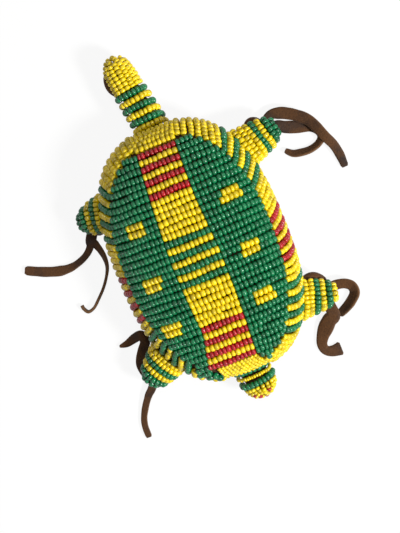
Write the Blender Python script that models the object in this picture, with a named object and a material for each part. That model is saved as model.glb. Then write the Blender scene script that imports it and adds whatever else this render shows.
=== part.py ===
"""Beaded turtle amulet.

A pouch of soft hide in the shape of a turtle, stuffed and sewn shut, whose back, rim, head, legs and
tail are covered with rows of strung glass seed beads. A slit thong of the same hide hangs from each
foot. The turtle lies on its flat belly at z = 0 with its head along +Y and its right side along +X.

Every patch of beadwork is drawn flat as a profile of rows, lofted across its lane, and then laid on
the hide, so that it follows the hide's form at a height above it.
"""

import math
from collections import Counter
from typing import NamedTuple

import bmesh
import bpy
import numpy
from mathutils import Vector

MM = 0.001

# Beadwork, measured up from the hide
BEAD_HEIGHT = 2.2 * MM
ROW_VALLEY = 1.1 * MM
ROW_CREST_SHARE = 0.45  # the part of a row's width that lies at its full height
SEAT_GAP = 0.3 * MM
ROW_GAP = 0.3 * MM
LIMB_CLEARANCE = 0.6 * MM

# Stuffed shell, as hide without its beads
SHELL_HALF_WIDTH = 26.5 * MM
SHELL_HALF_LENGTH = 41.0 * MM
SHELL_SQUARENESS = 2.6
EQUATOR_HEIGHT = 11.0 * MM
DOME_RISE = 14.8 * MM
BELLY_DROP = 13.0 * MM

# Field of lanes on the back, bounded by the rim's wraps
RIM_SIDE_WIDTH = 3.0 * MM
RIM_END_WIDTH = 3.5 * MM
FIELD_SQUARENESS = 2.4
RIGHT_REAR_TRIM = 0.6 * MM  # how much nearer the middle the right lane ends at the rear
TRIM_RUN = 30.0 * MM
CENTRE_LANE_WIDTH = 14.8 * MM
LANE_END_INSET = 2.0 * MM
CENTRE_ROWS = "RYRYRYR" + "YYYYYY" + "GYGYGYG" + "YYYYYY" + "RYRYRYR"

# Yellow squares on the side lanes, two rows each, counted from the head
RIGHT_SQUARE_OFFSET = 14.8 * MM
LEFT_SQUARE_OFFSET = 16.4 * MM
SQUARE_WIDTH = 6.2 * MM
SQUARE_FIRST_ROWS = (9, 17, 24)

# Rim wraps over the edge of the shell, as angles from the dome's top
RIM_EDGE_TILT = math.radians(105)
ROOT_EDGE_TILT = math.radians(84)
EDGE_CROWDING = 1.4  # above 1, a wrap's facets get shorter where the shell turns over its edge
WRAP_PITCH = 2.3 * MM
WRAP_SLANT = 2.2 * MM
SLANT_RUN_IN = 12.0 * MM
ROOT_WRAPS = "GYGYGYG"
ROOT_SPAN = 18.0 * MM
RED_WRAPS_AHEAD = 5  # yellow wraps on a side's middle stretch before its first red one
RED_WRAP_PATTERN = "RYRYRYR"

# Neck arcs and tail columns, which close the centre lane's two ends
NECK_ARCS = 5
TAIL_COLUMNS = 11
END_PATCH_TILT = math.radians(83)

# Thongs
THONG_THICKNESS = 1.0 * MM
THONG_FLOOR_GAP = 0.15 * MM


class Limb(NamedTuple):
    """A stuffed arm of the hide, with its own sleeve of bead rings."""

    name: str
    place: float  # how far round its side it is: 0 at the head, 1 at the tail, left side negative
    heading: float  # compass direction in degrees from +X towards +Y
    reach: float  # from the shell's edge to the hide's tip
    root_half_width: float
    tip_half_width: float
    half_height: float
    tip_round: float
    tip_height: float
    rings: str
    ring_reach: float  # how far along the hide the rings go
    wrap_from: float  # the sleeve's edges, in degrees round the limb from its top
    wrap_to: float


LIMB_HEIGHT = 8.0 * MM
LIMB_ROOT_INSET = 9.0 * MM
SLEEVE_END = math.radians(68)

TO_THE_FOOT = math.inf

HEAD = Limb(
    "head", 0, 98.7, 25.8 * MM, 4.0 * MM, 3.1 * MM, 3.0 * MM, 4.5 * MM, 7.5 * MM,
    "YGYGYG", 15.2 * MM, -80, 115,
)
TAIL = Limb(
    "tail", 0, 276, 10.6 * MM, 4.7 * MM, 4.0 * MM, 2.8 * MM, 3.6 * MM, 7.0 * MM,
    "GG", 6.6 * MM, -105, 105,
)
RIGHT_FRONT_LEG = Limb(
    "right_front_leg", 0.272, 12, 13.0 * MM, 5.6 * MM, 3.0 * MM, 2.8 * MM, 4.0 * MM, 5.8 * MM,
    "YYYGYGG", TO_THE_FOOT, -75, 115,
)
RIGHT_REAR_LEG = Limb(
    "right_rear_leg", 0.740, -11, 11.6 * MM, 5.4 * MM, 2.6 * MM, 2.8 * MM, 3.5 * MM, 5.6 * MM,
    "YYGYGY", TO_THE_FOOT, -75, 115,
)
LEFT_FRONT_LEG = Limb(
    "left_front_leg", -0.297, 182, 9.2 * MM, 4.8 * MM, 2.6 * MM, 2.8 * MM, 3.5 * MM, 5.6 * MM,
    "YGYGG", TO_THE_FOOT, -75, 115,
)
LEFT_REAR_LEG = Limb(
    "left_rear_leg", -0.753, 212, 12.2 * MM, 5.6 * MM, 3.0 * MM, 2.8 * MM, 3.5 * MM, 5.6 * MM,
    "YYGYGG", TO_THE_FOOT, -100, 100,
)
LEGS = (RIGHT_FRONT_LEG, RIGHT_REAR_LEG, LEFT_FRONT_LEG, LEFT_REAR_LEG)

HEAD_TIP_ROWS = 8
TAIL_TIP_ROWS = 7


class Knot(NamedTuple):
    """A place that a strip of thong runs through, in millimetres from under its foot and degrees."""

    x: float
    y: float
    lift: float  # of its lower edge, over the height at which the thong lies
    width: float
    roll: float  # of the strip about its own run


# Each thong is slit into two strips, which start side by side under the foot and then part
THONGS = {
    "right_front_thong": (RIGHT_FRONT_LEG, (0.4, 1.5), (0.0, -1.5), (
        Knot(4.5, 4.6, 1.4, 3.2, 0), Knot(7.5, 4.3, 1.5, 3.8, 4), Knot(10.1, 3.1, 1.6, 3.9, 8),
        Knot(12.9, 1.2, 1.9, 3.9, 12), Knot(15.5, -1.3, 2.1, 3.8, 16), Knot(17.2, -4.6, 2.3, 3.5, 18),
        Knot(18.6, -8.3, 2.2, 3.3, 14), Knot(20.1, -11.8, 1.4, 3.2, 8), Knot(20.8, -15.6, 0.4, 3.0, 4),
        Knot(21.0, -19.8, 0.0, 2.5, 0),
    ), (
        Knot(4.8, 0.7, 1.0, 3.6, 0), Knot(7.8, -0.7, 0.6, 4.1, 0), Knot(11.3, -2.1, 0.3, 4.1, 0),
        Knot(14.8, -3.2, 0.1, 3.7, 0), Knot(17.0, -5.2, 0.0, 3.2, 10), Knot(17.5, -7.7, 0.0, 2.8, 30),
        Knot(15.8, -9.5, 0.0, 2.7, 42), Knot(12.7, -10.4, 0.0, 2.9, 48), Knot(9.5, -10.2, 0.0, 2.9, 44),
        Knot(6.9, -9.5, 0.0, 2.5, 36), Knot(4.9, -7.7, 0.1, 1.7, 20),
    )),
    "left_front_thong": (LEFT_FRONT_LEG, (-0.4, -0.6), (0.4, -0.6), (
        Knot(-5.0, -5.8, 1.2, 2.7, 0), Knot(-5.9, -8.3, 0.9, 2.6, 10), Knot(-8.0, -10.3, 0.6, 2.4, 25),
        Knot(-11.0, -11.7, 0.3, 2.4, 28), Knot(-14.7, -12.5, 0.1, 2.8, 20),
        Knot(-18.7, -12.2, 0.0, 3.4, 8), Knot(-22.6, -11.0, 0.0, 3.4, 4), Knot(-26.1, -9.5, 0.0, 3.3, 0),
        Knot(-29.7, -7.7, 0.0, 3.0, 0),
    ), (
        Knot(-4.0, -6.2, 1.2, 2.6, 5), Knot(-3.9, -8.3, 1.0, 2.6, 20), Knot(-3.2, -10.8, 0.8, 2.5, 40),
        Knot(-2.9, -13.8, 0.5, 2.4, 55), Knot(-3.4, -16.9, 0.2, 2.3, 70),
        Knot(-5.2, -20.1, 0.0, 2.2, 84), Knot(-7.5, -23.0, 0.0, 2.1, 86),
        Knot(-10.2, -25.6, 0.0, 2.0, 88), Knot(-12.8, -27.8, 0.0, 1.9, 88),
        Knot(-15.1, -28.4, 0.0, 1.8, 88), Knot(-16.2, -26.9, 0.0, 1.7, 88),
        Knot(-16.4, -25.6, 0.0, 1.5, 88),
    )),
    "right_rear_thong": (RIGHT_REAR_LEG, (0.0, 0.3), (0.3, -0.5), (
        Knot(2.2, -0.2, 1.4, 3.2, 0), Knot(5.3, 0.3, 1.5, 3.4, 6), Knot(8.3, -0.3, 1.4, 3.4, 16),
        Knot(10.2, -1.9, 1.0, 3.8, 30), Knot(10.3, -4.3, 0.5, 4.2, 44), Knot(8.2, -6.5, 0.2, 4.2, 48),
        Knot(5.7, -8.1, 0.1, 3.6, 42), Knot(3.0, -9.4, 0.0, 2.8, 30),
    ), (
        Knot(1.3, -8.5, 0.9, 4.2, 5), Knot(-0.7, -9.9, 0.6, 5.0, 12), Knot(-2.9, -12.0, 0.3, 5.0, 16),
        Knot(-4.8, -14.3, 0.1, 4.2, 12), Knot(-6.0, -16.8, 0.0, 3.5, 6), Knot(-5.6, -19.1, 0.0, 3.2, 0),
        Knot(-3.5, -20.2, 0.0, 3.8, 0), Knot(-0.5, -20.3, 0.0, 5.0, 0),
    )),
    "left_rear_thong": (LEFT_REAR_LEG, (-0.5, -0.5), (-0.3, 0.7), (
        Knot(-5.2, -5.7, 1.0, 2.8, 0), Knot(-7.0, -7.3, 0.7, 2.6, 6), Knot(-8.8, -9.5, 0.4, 2.4, 12),
        Knot(-10.5, -12.0, 0.1, 2.3, 16), Knot(-11.9, -14.7, 0.0, 2.2, 12),
        Knot(-12.6, -17.5, 0.0, 2.2, 6), Knot(-12.7, -21.1, 0.0, 2.2, 0),
    ), (
        Knot(-4.6, -1.5, 0.7, 2.6, 0), Knot(-5.9, 2.2, 0.4, 2.8, 10), Knot(-5.0, 4.8, 0.3, 3.2, 16),
        Knot(-3.0, 7.5, 0.2, 3.5, 20), Knot(-1.2, 10.0, 0.1, 3.5, 22), Knot(-1.8, 12.3, 0.0, 3.4, 22),
        Knot(-4.3, 12.1, 0.0, 3.2, 18), Knot(-7.3, 11.3, 0.0, 2.4, 10), Knot(-10.0, 11.3, 0.0, 1.0, 0),
    )),
}
STEPS_BETWEEN_KNOTS = 2

COLOURS = {"Y": "#E3C718", "G": "#1C8350", "R": "#A31522", "hide": "#6B4B33"}
NAMES = {"Y": "yellow", "G": "green", "R": "red"}


def linear(hex_colour):
    """Turns a written colour into the linear values that a shader takes."""
    parts = [int(hex_colour[i : i + 2], 16) / 255 for i in (1, 3, 5)]
    return [p / 12.92 if p <= 0.04045 else ((p + 0.055) / 1.055) ** 2.4 for p in parts] + [1.0]


def make_material(name, hex_colour, roughness):
    material = bpy.data.materials.new(name)
    material.use_nodes = True
    shader = material.node_tree.nodes["Principled BSDF"]
    shader.inputs["Base Color"].default_value = linear(hex_colour)
    shader.inputs["Roughness"].default_value = roughness
    shader.inputs["Metallic"].default_value = 0.0
    return material


class Ruler:
    """Turns a distance along a curve into the curve's own parameter, and back."""

    def __init__(self, curve, start, end, steps=600):
        self.params = numpy.linspace(start, end, steps + 1)
        points = numpy.array([curve(p) for p in self.params])
        lengths = numpy.linalg.norm(numpy.diff(points, axis=0), axis=1)
        self.marks = numpy.concatenate([[0.0], numpy.cumsum(lengths)])
        self.length = float(self.marks[-1])

    def at(self, distance):
        return float(numpy.interp(distance, self.marks, self.params))


# The shell's form


def outline(angle):
    """A point on the shell's edge seen from above: angle 0 is the head end, 90 degrees the right."""
    s, c = math.sin(angle), math.cos(angle)
    power = 2 / SHELL_SQUARENESS
    x = SHELL_HALF_WIDTH * math.copysign(abs(s) ** power, s)
    y = SHELL_HALF_LENGTH * math.copysign(abs(c) ** power, c)
    return x, y


def shell(angle, tilt):
    """A point on the hide, and one inside it. Tilt 0 is the dome's top and 90 degrees its edge."""
    x, y = outline(angle)
    rise = DOME_RISE if math.cos(tilt) > 0 else BELLY_DROP
    point = Vector((x * math.sin(tilt), y * math.sin(tilt), EQUATOR_HEIGHT + rise * math.cos(tilt)))
    return point, Vector((0, 0, EQUATOR_HEIGHT))


def spread(x, y, half_width, half_length, squareness):
    """How far out a point lies: 1 on the outline with these sizes, 0 in the middle."""
    across = abs(x / half_width) ** squareness
    along = abs(y / half_length) ** squareness
    return (across + along) ** (1 / squareness)


def dome(x, y):
    """The point of the hide's dome above a place in plan, and one inside it."""
    out = min(spread(x, y, SHELL_HALF_WIDTH, SHELL_HALF_LENGTH, SHELL_SQUARENESS), 0.999)
    z = EQUATOR_HEIGHT + DOME_RISE * math.sqrt(1 - out**2)
    return Vector((x, y, z)), Vector((0, 0, EQUATOR_HEIGHT - BELLY_DROP))


def raised(surface, u, v, height):
    """The point at a height over a surface, measured square to it."""
    step = 2e-4
    point, inside = surface(u, v)
    along_u = surface(u + step, v)[0] - surface(u - step, v)[0]
    along_v = surface(u, v + step)[0] - surface(u, v - step)[0]
    normal = along_u.cross(along_v).normalized()
    if normal.dot(point - inside) < 0:
        normal.negate()
    return point + normal * height


FIELD_HALF_WIDTH = SHELL_HALF_WIDTH - RIM_SIDE_WIDTH
FIELD_HALF_LENGTH = SHELL_HALF_LENGTH - RIM_END_WIDTH
LANE_HALF_LENGTH = FIELD_HALF_LENGTH - LANE_END_INSET
EDGE = Ruler(outline, 0, math.pi)
SPINE = Ruler(lambda y: dome(0, y)[0], LANE_HALF_LENGTH, -LANE_HALF_LENGTH)
ROW_MARKS = [SPINE.length * i / len(CENTRE_ROWS) for i in range(len(CENTRE_ROWS) + 1)]


def edge_angle(station):
    """The outline's angle at a distance round the shell, on the side of the distance's sign."""
    return math.copysign(EDGE.at(abs(station)), station)


def field_edge(y, side):
    """How far from the middle a side's lane reaches at a place along the back."""
    share = min(abs(y) / FIELD_HALF_LENGTH, 1)
    edge = FIELD_HALF_WIDTH * (1 - share**FIELD_SQUARENESS) ** (1 / FIELD_SQUARENESS) - ROW_GAP
    rearwards = min(max(0.3 - y / TRIM_RUN, 0), 1)
    trim = RIGHT_REAR_TRIM * rearwards * min(edge / FIELD_HALF_WIDTH * 1.5, 1) if side > 0 else 0
    return edge - max(trim, 0)


def rim_start(angle):
    """The tilt at which the rim's wraps begin, just outside the field of lanes."""
    x, y = outline(angle)
    inside, outside = 0.0, 0.99
    for _ in range(30):
        middle = (inside + outside) / 2
        if abs(x) * middle < field_edge(y * middle, angle) + ROW_GAP:
            inside = middle
        else:
            outside = middle
    return math.asin(outside)


# Limbs


def limb_axes(limb):
    """Where a limb leaves the shell's edge, the way it points, its side and its top."""
    angle = math.pi if limb is TAIL else edge_angle(limb.place * EDGE.length)
    x, y = outline(angle)
    start = Vector((x, y, LIMB_HEIGHT))
    heading = math.radians(limb.heading)
    fall = limb.tip_height - LIMB_HEIGHT
    way = Vector((math.cos(heading) * limb.reach, math.sin(heading) * limb.reach, fall)).normalized()
    side = way.cross(Vector((0, 0, 1))).normalized()
    return start, way, side, side.cross(way)


def limb_surface(limb):
    """The limb's hide as a surface: distance along its skin, and angle round it from the top."""
    start, way, side, top = limb_axes(limb)
    straight = limb.reach - limb.tip_round

    def surface(distance, turn):
        bend = max(0.0, (distance - straight) / limb.tip_round)
        axial = min(distance, straight) + limb.tip_round * math.sin(min(bend, math.pi / 2))
        shrink = math.cos(min(bend, math.pi / 2))
        taper = min(max(axial / limb.reach, 0), 1)
        wide = limb.root_half_width + (limb.tip_half_width - limb.root_half_width) * taper
        centre = start + way * axial
        rim = side * (wide * math.sin(turn)) + top * (limb.half_height * math.cos(turn))
        return centre + rim * shrink, centre - way * (limb.tip_round * bend)

    return surface


def clears_shell(point):
    """True where a point lies outside the rim's beads."""
    over = BEAD_HEIGHT + LIMB_CLEARANCE
    out = spread(
        point.x, point.y, SHELL_HALF_WIDTH + over, SHELL_HALF_LENGTH + over, SHELL_SQUARENESS
    )
    rise = DOME_RISE if point.z > EQUATOR_HEIGHT else BELLY_DROP
    return out**2 + ((point.z - EQUATOR_HEIGHT) / (rise + over)) ** 2 > 1


def sleeve_start(surface, turn):
    """The distance along a limb at which its beads come clear of the rim's."""
    near, far = 0.0, 8 * MM
    for _ in range(30):
        middle = (near + far) / 2
        heights = (SEAT_GAP, BEAD_HEIGHT)
        if all(clears_shell(raised(surface, middle, turn, h)) for h in heights):
            far = middle
        else:
            near = middle
    return far


# Building


def add_object(name, bm, materials):
    """Makes a finished object of a bmesh, shaded smooth over its gentle curves."""
    bmesh.ops.recalc_face_normals(bm, faces=bm.faces)
    if bm.calc_volume(signed=True) < 0:
        bmesh.ops.reverse_faces(bm, faces=bm.faces)
    mesh = bpy.data.meshes.new(name)
    bm.to_mesh(mesh)
    bm.free()
    for material in materials:
        mesh.materials.append(material)
    mesh.shade_smooth()
    mesh.set_sharp_from_angle(angle=math.radians(50))
    made = bpy.data.objects.new(name, mesh)
    bpy.context.scene.collection.objects.link(made)
    return made


def row_profile(marks, rows_below):
    """The outline of rows side by side: rounded crests above, and a mark below every few rows."""
    crests = []
    for start, end in zip(marks, marks[1:]):
        shoulder = (end - start) * (1 - ROW_CREST_SHARE) / 2
        crests += [(start, ROW_VALLEY), (start + shoulder, BEAD_HEIGHT), (end - shoulder, BEAD_HEIGHT)]
    crests.append((marks[-1], ROW_VALLEY))
    below = [m for i, m in enumerate(marks) if i % rows_below == 0 or i == len(marks) - 1]
    return crests + [(m, SEAT_GAP) for m in reversed(below)]


def bead_block(name, marks, stations, place, colour_at, glass, rows_below=2):
    """Lofts a profile of rows across its stations, and lays the flat block on the hide.

    place(along, station, height) gives a point of the block where it lies on the turtle, and
    colour_at(row, station) the letter of the colour there.
    """
    bm = bmesh.new()
    profile = row_profile(marks, rows_below)
    face = bm.faces.new([bm.verts.new((along, 0, height)) for along, height in profile])
    for station in range(stations):
        grown = bmesh.ops.extrude_face_region(bm, geom=[face])["geom"]
        if station > 0:
            bmesh.ops.delete(bm, geom=[face], context="FACES_ONLY")
        ring = [g for g in grown if isinstance(g, bmesh.types.BMVert)]
        bmesh.ops.translate(bm, verts=ring, vec=(0, 1, 0))
        face = next(g for g in grown if isinstance(g, bmesh.types.BMFace))
    bmesh.ops.triangulate(bm, faces=[f for f in bm.faces if len(f.verts) > 4])
    letters = []
    for face in bm.faces:
        middle = face.calc_center_median()
        row = min(max(int(numpy.searchsorted(marks, middle.x)) - 1, 0), len(marks) - 2)
        letter = colour_at(row, min(int(middle.y), stations - 1))
        if letter not in letters:
            letters.append(letter)
        face.material_index = letters.index(letter)
    for vert in bm.verts:
        vert.co = place(*vert.co)
    return add_object(name, bm, [glass[letter] for letter in letters])


def even_marks(start, end, count):
    return [start + (end - start) * i / count for i in range(count + 1)]


# The pieces


def make_hide_body(hide):
    """The stuffed hide: a flat-bellied shell with its neck, legs and tail sewn on as one pouch."""
    bm = bmesh.new()
    bmesh.ops.create_uvsphere(bm, u_segments=26, v_segments=12, radius=1)
    for vert in bm.verts:
        angle = math.atan2(vert.co.x, vert.co.y)
        tilt = math.acos(max(-1, min(1, vert.co.z)))
        vert.co = shell(angle, tilt)[0]
    edges = bmesh.ops.bisect_plane(
        bm,
        geom=bm.verts[:] + bm.edges[:] + bm.faces[:],
        plane_co=(0, 0, 0),
        plane_no=(0, 0, -1),
        clear_outer=True,
    )["geom_cut"]
    bmesh.ops.contextual_create(bm, geom=edges)
    body = add_object("stuffed_hide_body", bm, [hide])
    for limb in (HEAD, TAIL, *LEGS):
        fuse(body, make_limb_core(limb, hide))
    return body


def make_limb_core(limb, hide):
    """A limb's hide, from inside the shell to its rounded tip."""
    surface = limb_surface(limb)
    straight = limb.reach - limb.tip_round
    bends = [math.radians(b) for b in (0, 30, 55, 75)]
    distances = [-LIMB_ROOT_INSET] + [straight + limb.tip_round * b for b in bends]
    sides = 10
    bm = bmesh.new()
    rings = []
    for distance in distances:
        turns = [2 * math.pi * i / sides for i in range(sides)]
        rings.append([bm.verts.new(surface(distance, turn)[0]) for turn in turns])
    for near, far in zip(rings, rings[1:]):
        for i in range(sides):
            bm.faces.new((near[i - 1], near[i], far[i], far[i - 1]))
    bm.faces.new(rings[0])
    bm.faces.new(rings[-1])
    return add_object(limb.name + "_core", bm, [hide])


def fuse(target, tool):
    """Joins a tool object to its target, and leaves the tool as a guide."""
    union = target.modifiers.new(tool.name, "BOOLEAN")
    union.operation = "UNION"
    union.solver = "EXACT"
    union.object = tool
    tool.hide_render = True
    tool.display_type = "WIRE"


def make_centre_lane(glass):
    """The middle lane: each red, yellow or green row on its own thread, and two fields of yellow."""
    half = CENTRE_LANE_WIDTH / 2
    stations = 2

    def place(along, station, height):
        x = -half + CENTRE_LANE_WIDTH * station / stations
        return raised(dome, x, SPINE.at(along), height)

    row = 0
    counts = Counter()
    while row < len(CENTRE_ROWS):
        letter = CENTRE_ROWS[row]
        end = row
        while end < len(CENTRE_ROWS) and CENTRE_ROWS[end] == letter:
            end += 1
        marks = ROW_MARKS[row : end + 1]
        marks = [marks[0] + ROW_GAP / 2] + marks[1:-1] + [marks[-1] - ROW_GAP / 2]
        kind = NAMES[letter] + ("_field" if end - row > 1 else "_row")
        counts[kind] += 1
        name = f"centre_{kind}_{counts[kind]}"
        bead_block(name, marks, stations, place, lambda r, s, c=letter: c, glass)
        row = end


def make_side_lane(name, side, glass):
    """A green lane beside the middle one, with three yellow squares of two rows each."""
    inner = CENTRE_LANE_WIDTH / 2 + ROW_GAP
    square = RIGHT_SQUARE_OFFSET if side > 0 else LEFT_SQUARE_OFFSET
    near, far = square - SQUARE_WIDTH / 2, square + SQUARE_WIDTH / 2
    # Each station's place, and the share of the lane that it may not pass where the lane narrows
    places = (inner, near, far, math.inf)
    shares = (0, 0.44, 0.92, 1)

    def place(along, station, height):
        y = SPINE.at(along)
        i = round(station)
        x = min(places[i], inner + shares[i] * (field_edge(y, side) - inner))
        return raised(dome, side * x, y, height)

    def colour_at(row, station):
        in_row = any(row in (first, first + 1) for first in SQUARE_FIRST_ROWS)
        return "Y" if in_row and station == 1 else "G"

    bead_block(name, ROW_MARKS, len(places) - 1, place, colour_at, glass)


def slant(station, tilt):
    """How far a wrap leans round the shell. On the right side its outer end is ahead of its inner."""
    run = min(abs(station) - rim_ends()[0], rim_ends()[1] - abs(station))
    ease = min(max(run / SLANT_RUN_IN, 0), 1)
    share = (tilt - ROOT_EDGE_TILT) / (RIM_EDGE_TILT - ROOT_EDGE_TILT)
    return -WRAP_SLANT * ease * share if station > 0 else 0


def rim_ends():
    """The distances round one side at which the rim begins at the neck and ends at the tail."""
    lane = CENTRE_LANE_WIDTH / 2 + ROW_GAP
    neck = HEAD.root_half_width + BEAD_HEIGHT + LIMB_CLEARANCE
    rump = TAIL.root_half_width + BEAD_HEIGHT + LIMB_CLEARANCE
    return max(lane, neck), EDGE.length - max(lane, rump)


def rim_place(side, edge_tilt, stations):
    """Lays a rim block: along the edge, and from the field's border out over the edge."""

    def place(along, station, height):
        start = rim_start(edge_angle(side * along))
        start = rim_start(edge_angle(side * along + slant(side * along, start)))
        share = 1 - (1 - station / stations) ** EDGE_CROWDING
        tilt = start + (edge_tilt - start) * share
        round_edge = side * along + slant(side * along, tilt)
        return raised(lambda s, t: shell(edge_angle(s), t), round_edge, tilt, height)

    return place


def make_rim(side_name, side, glass):
    """One side's wraps: three stretches between head, legs and tail, and those at the leg roots."""
    front, rear = sorted(
        abs(leg.place) * EDGE.length for leg in LEGS if leg.name.startswith(side_name)
    )
    begin, finish = rim_ends()
    half = ROOT_SPAN / 2
    stretches = {
        "front": (begin, front - half),
        "middle": (front + half, rear - half),
        "rear": (rear + half, finish),
    }
    for stretch, (start, end) in stretches.items():
        count = max(2, round((end - start) / WRAP_PITCH))

        def colour_at(row, station, stretch=stretch):
            red = row - RED_WRAPS_AHEAD
            inside = stretch == "middle" and 0 <= red < len(RED_WRAP_PATTERN)
            return RED_WRAP_PATTERN[red] if inside else "Y"

        marks = even_marks(start + ROW_GAP / 2, end - ROW_GAP / 2, count)
        place = rim_place(side, RIM_EDGE_TILT, 4)
        bead_block(f"{side_name}_{stretch}_rim", marks, 4, place, colour_at, glass)
    for end_name, middle in (("front", front), ("rear", rear)):
        marks = even_marks(middle - half + ROW_GAP / 2, middle + half - ROW_GAP / 2, len(ROOT_WRAPS))
        place = rim_place(side, ROOT_EDGE_TILT, 3)
        name = f"{side_name}_{end_name}_leg_root_wraps"
        bead_block(name, marks, 3, place, lambda row, station: ROOT_WRAPS[row], glass)


def end_patch_tilt(angle, share):
    """A tilt between the centre lane's end, at share 0, and the shell's edge at a limb, at 1."""
    end_of_lane = (LANE_HALF_LENGTH + ROW_GAP) / abs(outline(angle)[1])
    start = math.asin(end_of_lane)
    return start + (END_PATCH_TILT - start) * share


def make_neck_arcs(glass):
    """Curved yellow rows across the front of the shell, from the centre lane down to the neck."""
    half = rim_ends()[0] - ROW_GAP
    stations = 5
    length = Ruler(lambda share: shell(0, end_patch_tilt(0, share))[0], 0, 1).length

    def place(along, station, height):
        angle = edge_angle(-half + 2 * half * station / stations)
        return raised(shell, angle, end_patch_tilt(angle, along / length), height)

    marks = even_marks(0, length, NECK_ARCS)
    bead_block("neck_arcs", marks, stations, place, lambda row, station: "Y", glass)


def make_tail_columns(glass):
    """Yellow rows that run lengthwise from the centre lane's end down to the tail."""
    half = EDGE.length - rim_ends()[1] - ROW_GAP
    stations = 2

    def place(along, station, height):
        angle = math.copysign(EDGE.at(EDGE.length - abs(along)), along)
        return raised(shell, angle, end_patch_tilt(angle, station / stations), height)

    marks = even_marks(-half, half, TAIL_COLUMNS)
    bead_block("tail_columns", marks, stations, place, lambda row, station: "Y", glass)


def sleeve_turns(limb, count):
    """Angles round a limb from one edge of its sleeve to the other."""
    start, end = math.radians(limb.wrap_from), math.radians(limb.wrap_to)
    return even_marks(start, end, count)


def skin_end(limb):
    """How far along a limb's skin its beads go, over the bend of its tip."""
    return limb.reach - limb.tip_round + limb.tip_round * SLEEVE_END


def make_sleeve(limb, name, glass):
    """Rings of beads round a limb, from the rim outwards."""
    surface = limb_surface(limb)
    turns = sleeve_turns(limb, 8)
    starts = [sleeve_start(surface, turn) for turn in turns]
    end = min(skin_end(limb), limb.ring_reach)
    length = end - min(starts)

    def place(along, station, height):
        i = round(station)
        distance = starts[i] + (end - starts[i]) * along / length
        return raised(surface, distance, turns[i], height)

    marks = even_marks(0, length, len(limb.rings))
    bead_block(name, marks, len(turns) - 1, place, lambda row, station: limb.rings[row], glass, 1)


def make_tip(limb, rows, name, glass):
    """Yellow rows that run lengthwise over a limb's tip, beyond its rings."""
    surface = limb_surface(limb)
    stations = 4
    start, end = limb.ring_reach + ROW_GAP, skin_end(limb)
    girth = math.radians(limb.wrap_to - limb.wrap_from) * limb.tip_half_width

    def place(along, station, height):
        turn = math.radians(limb.wrap_from) + along / limb.tip_half_width
        return raised(surface, start + (end - start) * station / stations, turn, height)

    marks = even_marks(0, girth, rows)
    bead_block(name, marks, stations, place, lambda row, station: "Y", glass, 1)


def smooth_knots(knots):
    """More knots between those chosen, on a smooth curve through them."""
    ends = [knots[0], *knots, knots[-1]]
    rows = [numpy.array(knot) for knot in ends]
    fine = []
    for before, start, end, after in zip(rows, rows[1:], rows[2:], rows[3:]):
        for step in range(STEPS_BETWEEN_KNOTS):
            t = step / STEPS_BETWEEN_KNOTS
            bend = (2 * before - 5 * start + 4 * end - after) * t**2
            twist = (3 * start - before - 3 * end + after) * t**3
            fine.append(Knot(*(start + ((end - before) * t + bend + twist) / 2)))
    return fine + [knots[-1]]


def make_strip(name, knots, under, foot_height, hide):
    """One strip of a thong: a flat band with a little roll, from under the foot to its cut end."""
    bm = bmesh.new()
    knots = smooth_knots(knots)
    centres = []
    for i, knot in enumerate(knots):
        roll = math.radians(abs(knot.roll))
        half_tall = knot.width * MM / 2 * math.sin(roll) + THONG_THICKNESS / 2 * math.cos(roll)
        height = THONG_FLOOR_GAP + half_tall + max(knot.lift, 0) * MM
        under_foot = i < STEPS_BETWEEN_KNOTS / 2
        x, y = under.x + knot.x * MM, under.y + knot.y * MM
        centres.append(Vector((x, y, foot_height if under_foot else height)))
    sections = []
    for i, (centre, knot) in enumerate(zip(centres, knots)):
        run = (centres[min(i + 1, len(centres) - 1)] - centres[max(i - 1, 0)]).normalized()
        flat = Vector((0, 0, 1)).cross(run).normalized()
        roll = math.radians(knot.roll)
        across = (flat * math.cos(roll) + run.cross(flat) * math.sin(roll)) * knot.width * MM / 2
        thick = across.cross(run).normalized() * THONG_THICKNESS / 2
        corners = (across + thick, across - thick, -across - thick, -across + thick)
        sections.append([bm.verts.new(centre + corner) for corner in corners])
    for near, far in zip(sections, sections[1:]):
        for i in range(4):
            bm.faces.new((near[i - 1], near[i], far[i], far[i - 1]))
    bm.faces.new(sections[0])
    bm.faces.new(sections[-1])
    return add_object(name, bm, [hide])


def make_thong(name, leg, start_a, start_b, knots_a, knots_b, hide):
    """A slit thong, seated under its foot."""
    under = limb_surface(leg)(leg.reach - leg.tip_round, math.pi)[0]
    foot_height = under.z - SEAT_GAP - THONG_THICKNESS / 2
    strips = []
    for start, knots, suffix in ((start_a, knots_a, ""), (start_b, knots_b, "_second_strip")):
        first = Knot(*start, knots[0].lift, knots[0].width, 0)
        strips.append(make_strip(name + suffix, (first, *knots), under, foot_height, hide))
    fuse(*strips)


def remove_everything():
    for thing in list(bpy.data.objects):
        bpy.data.objects.remove(thing)


def main():
    remove_everything()
    hide = make_material("smoked hide", COLOURS["hide"], 0.85)
    glass = {
        letter: make_material(f"{NAMES[letter]} glass beads", COLOURS[letter], 0.25)
        for letter in NAMES
    }
    make_hide_body(hide)
    make_centre_lane(glass)
    make_side_lane("left_lane", -1, glass)
    make_side_lane("right_lane", 1, glass)
    make_rim("right", 1, glass)
    make_rim("left", -1, glass)
    make_neck_arcs(glass)
    make_tail_columns(glass)
    make_sleeve(HEAD, "head_rings", glass)
    make_tip(HEAD, HEAD_TIP_ROWS, "head_tip", glass)
    make_sleeve(TAIL, "tail_band", glass)
    make_tip(TAIL, TAIL_TIP_ROWS, "tail_tip", glass)
    for leg in LEGS:
        make_sleeve(leg, leg.name + "_sleeve", glass)
    for name, thong in THONGS.items():
        make_thong(name, *thong, hide)


main()
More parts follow.
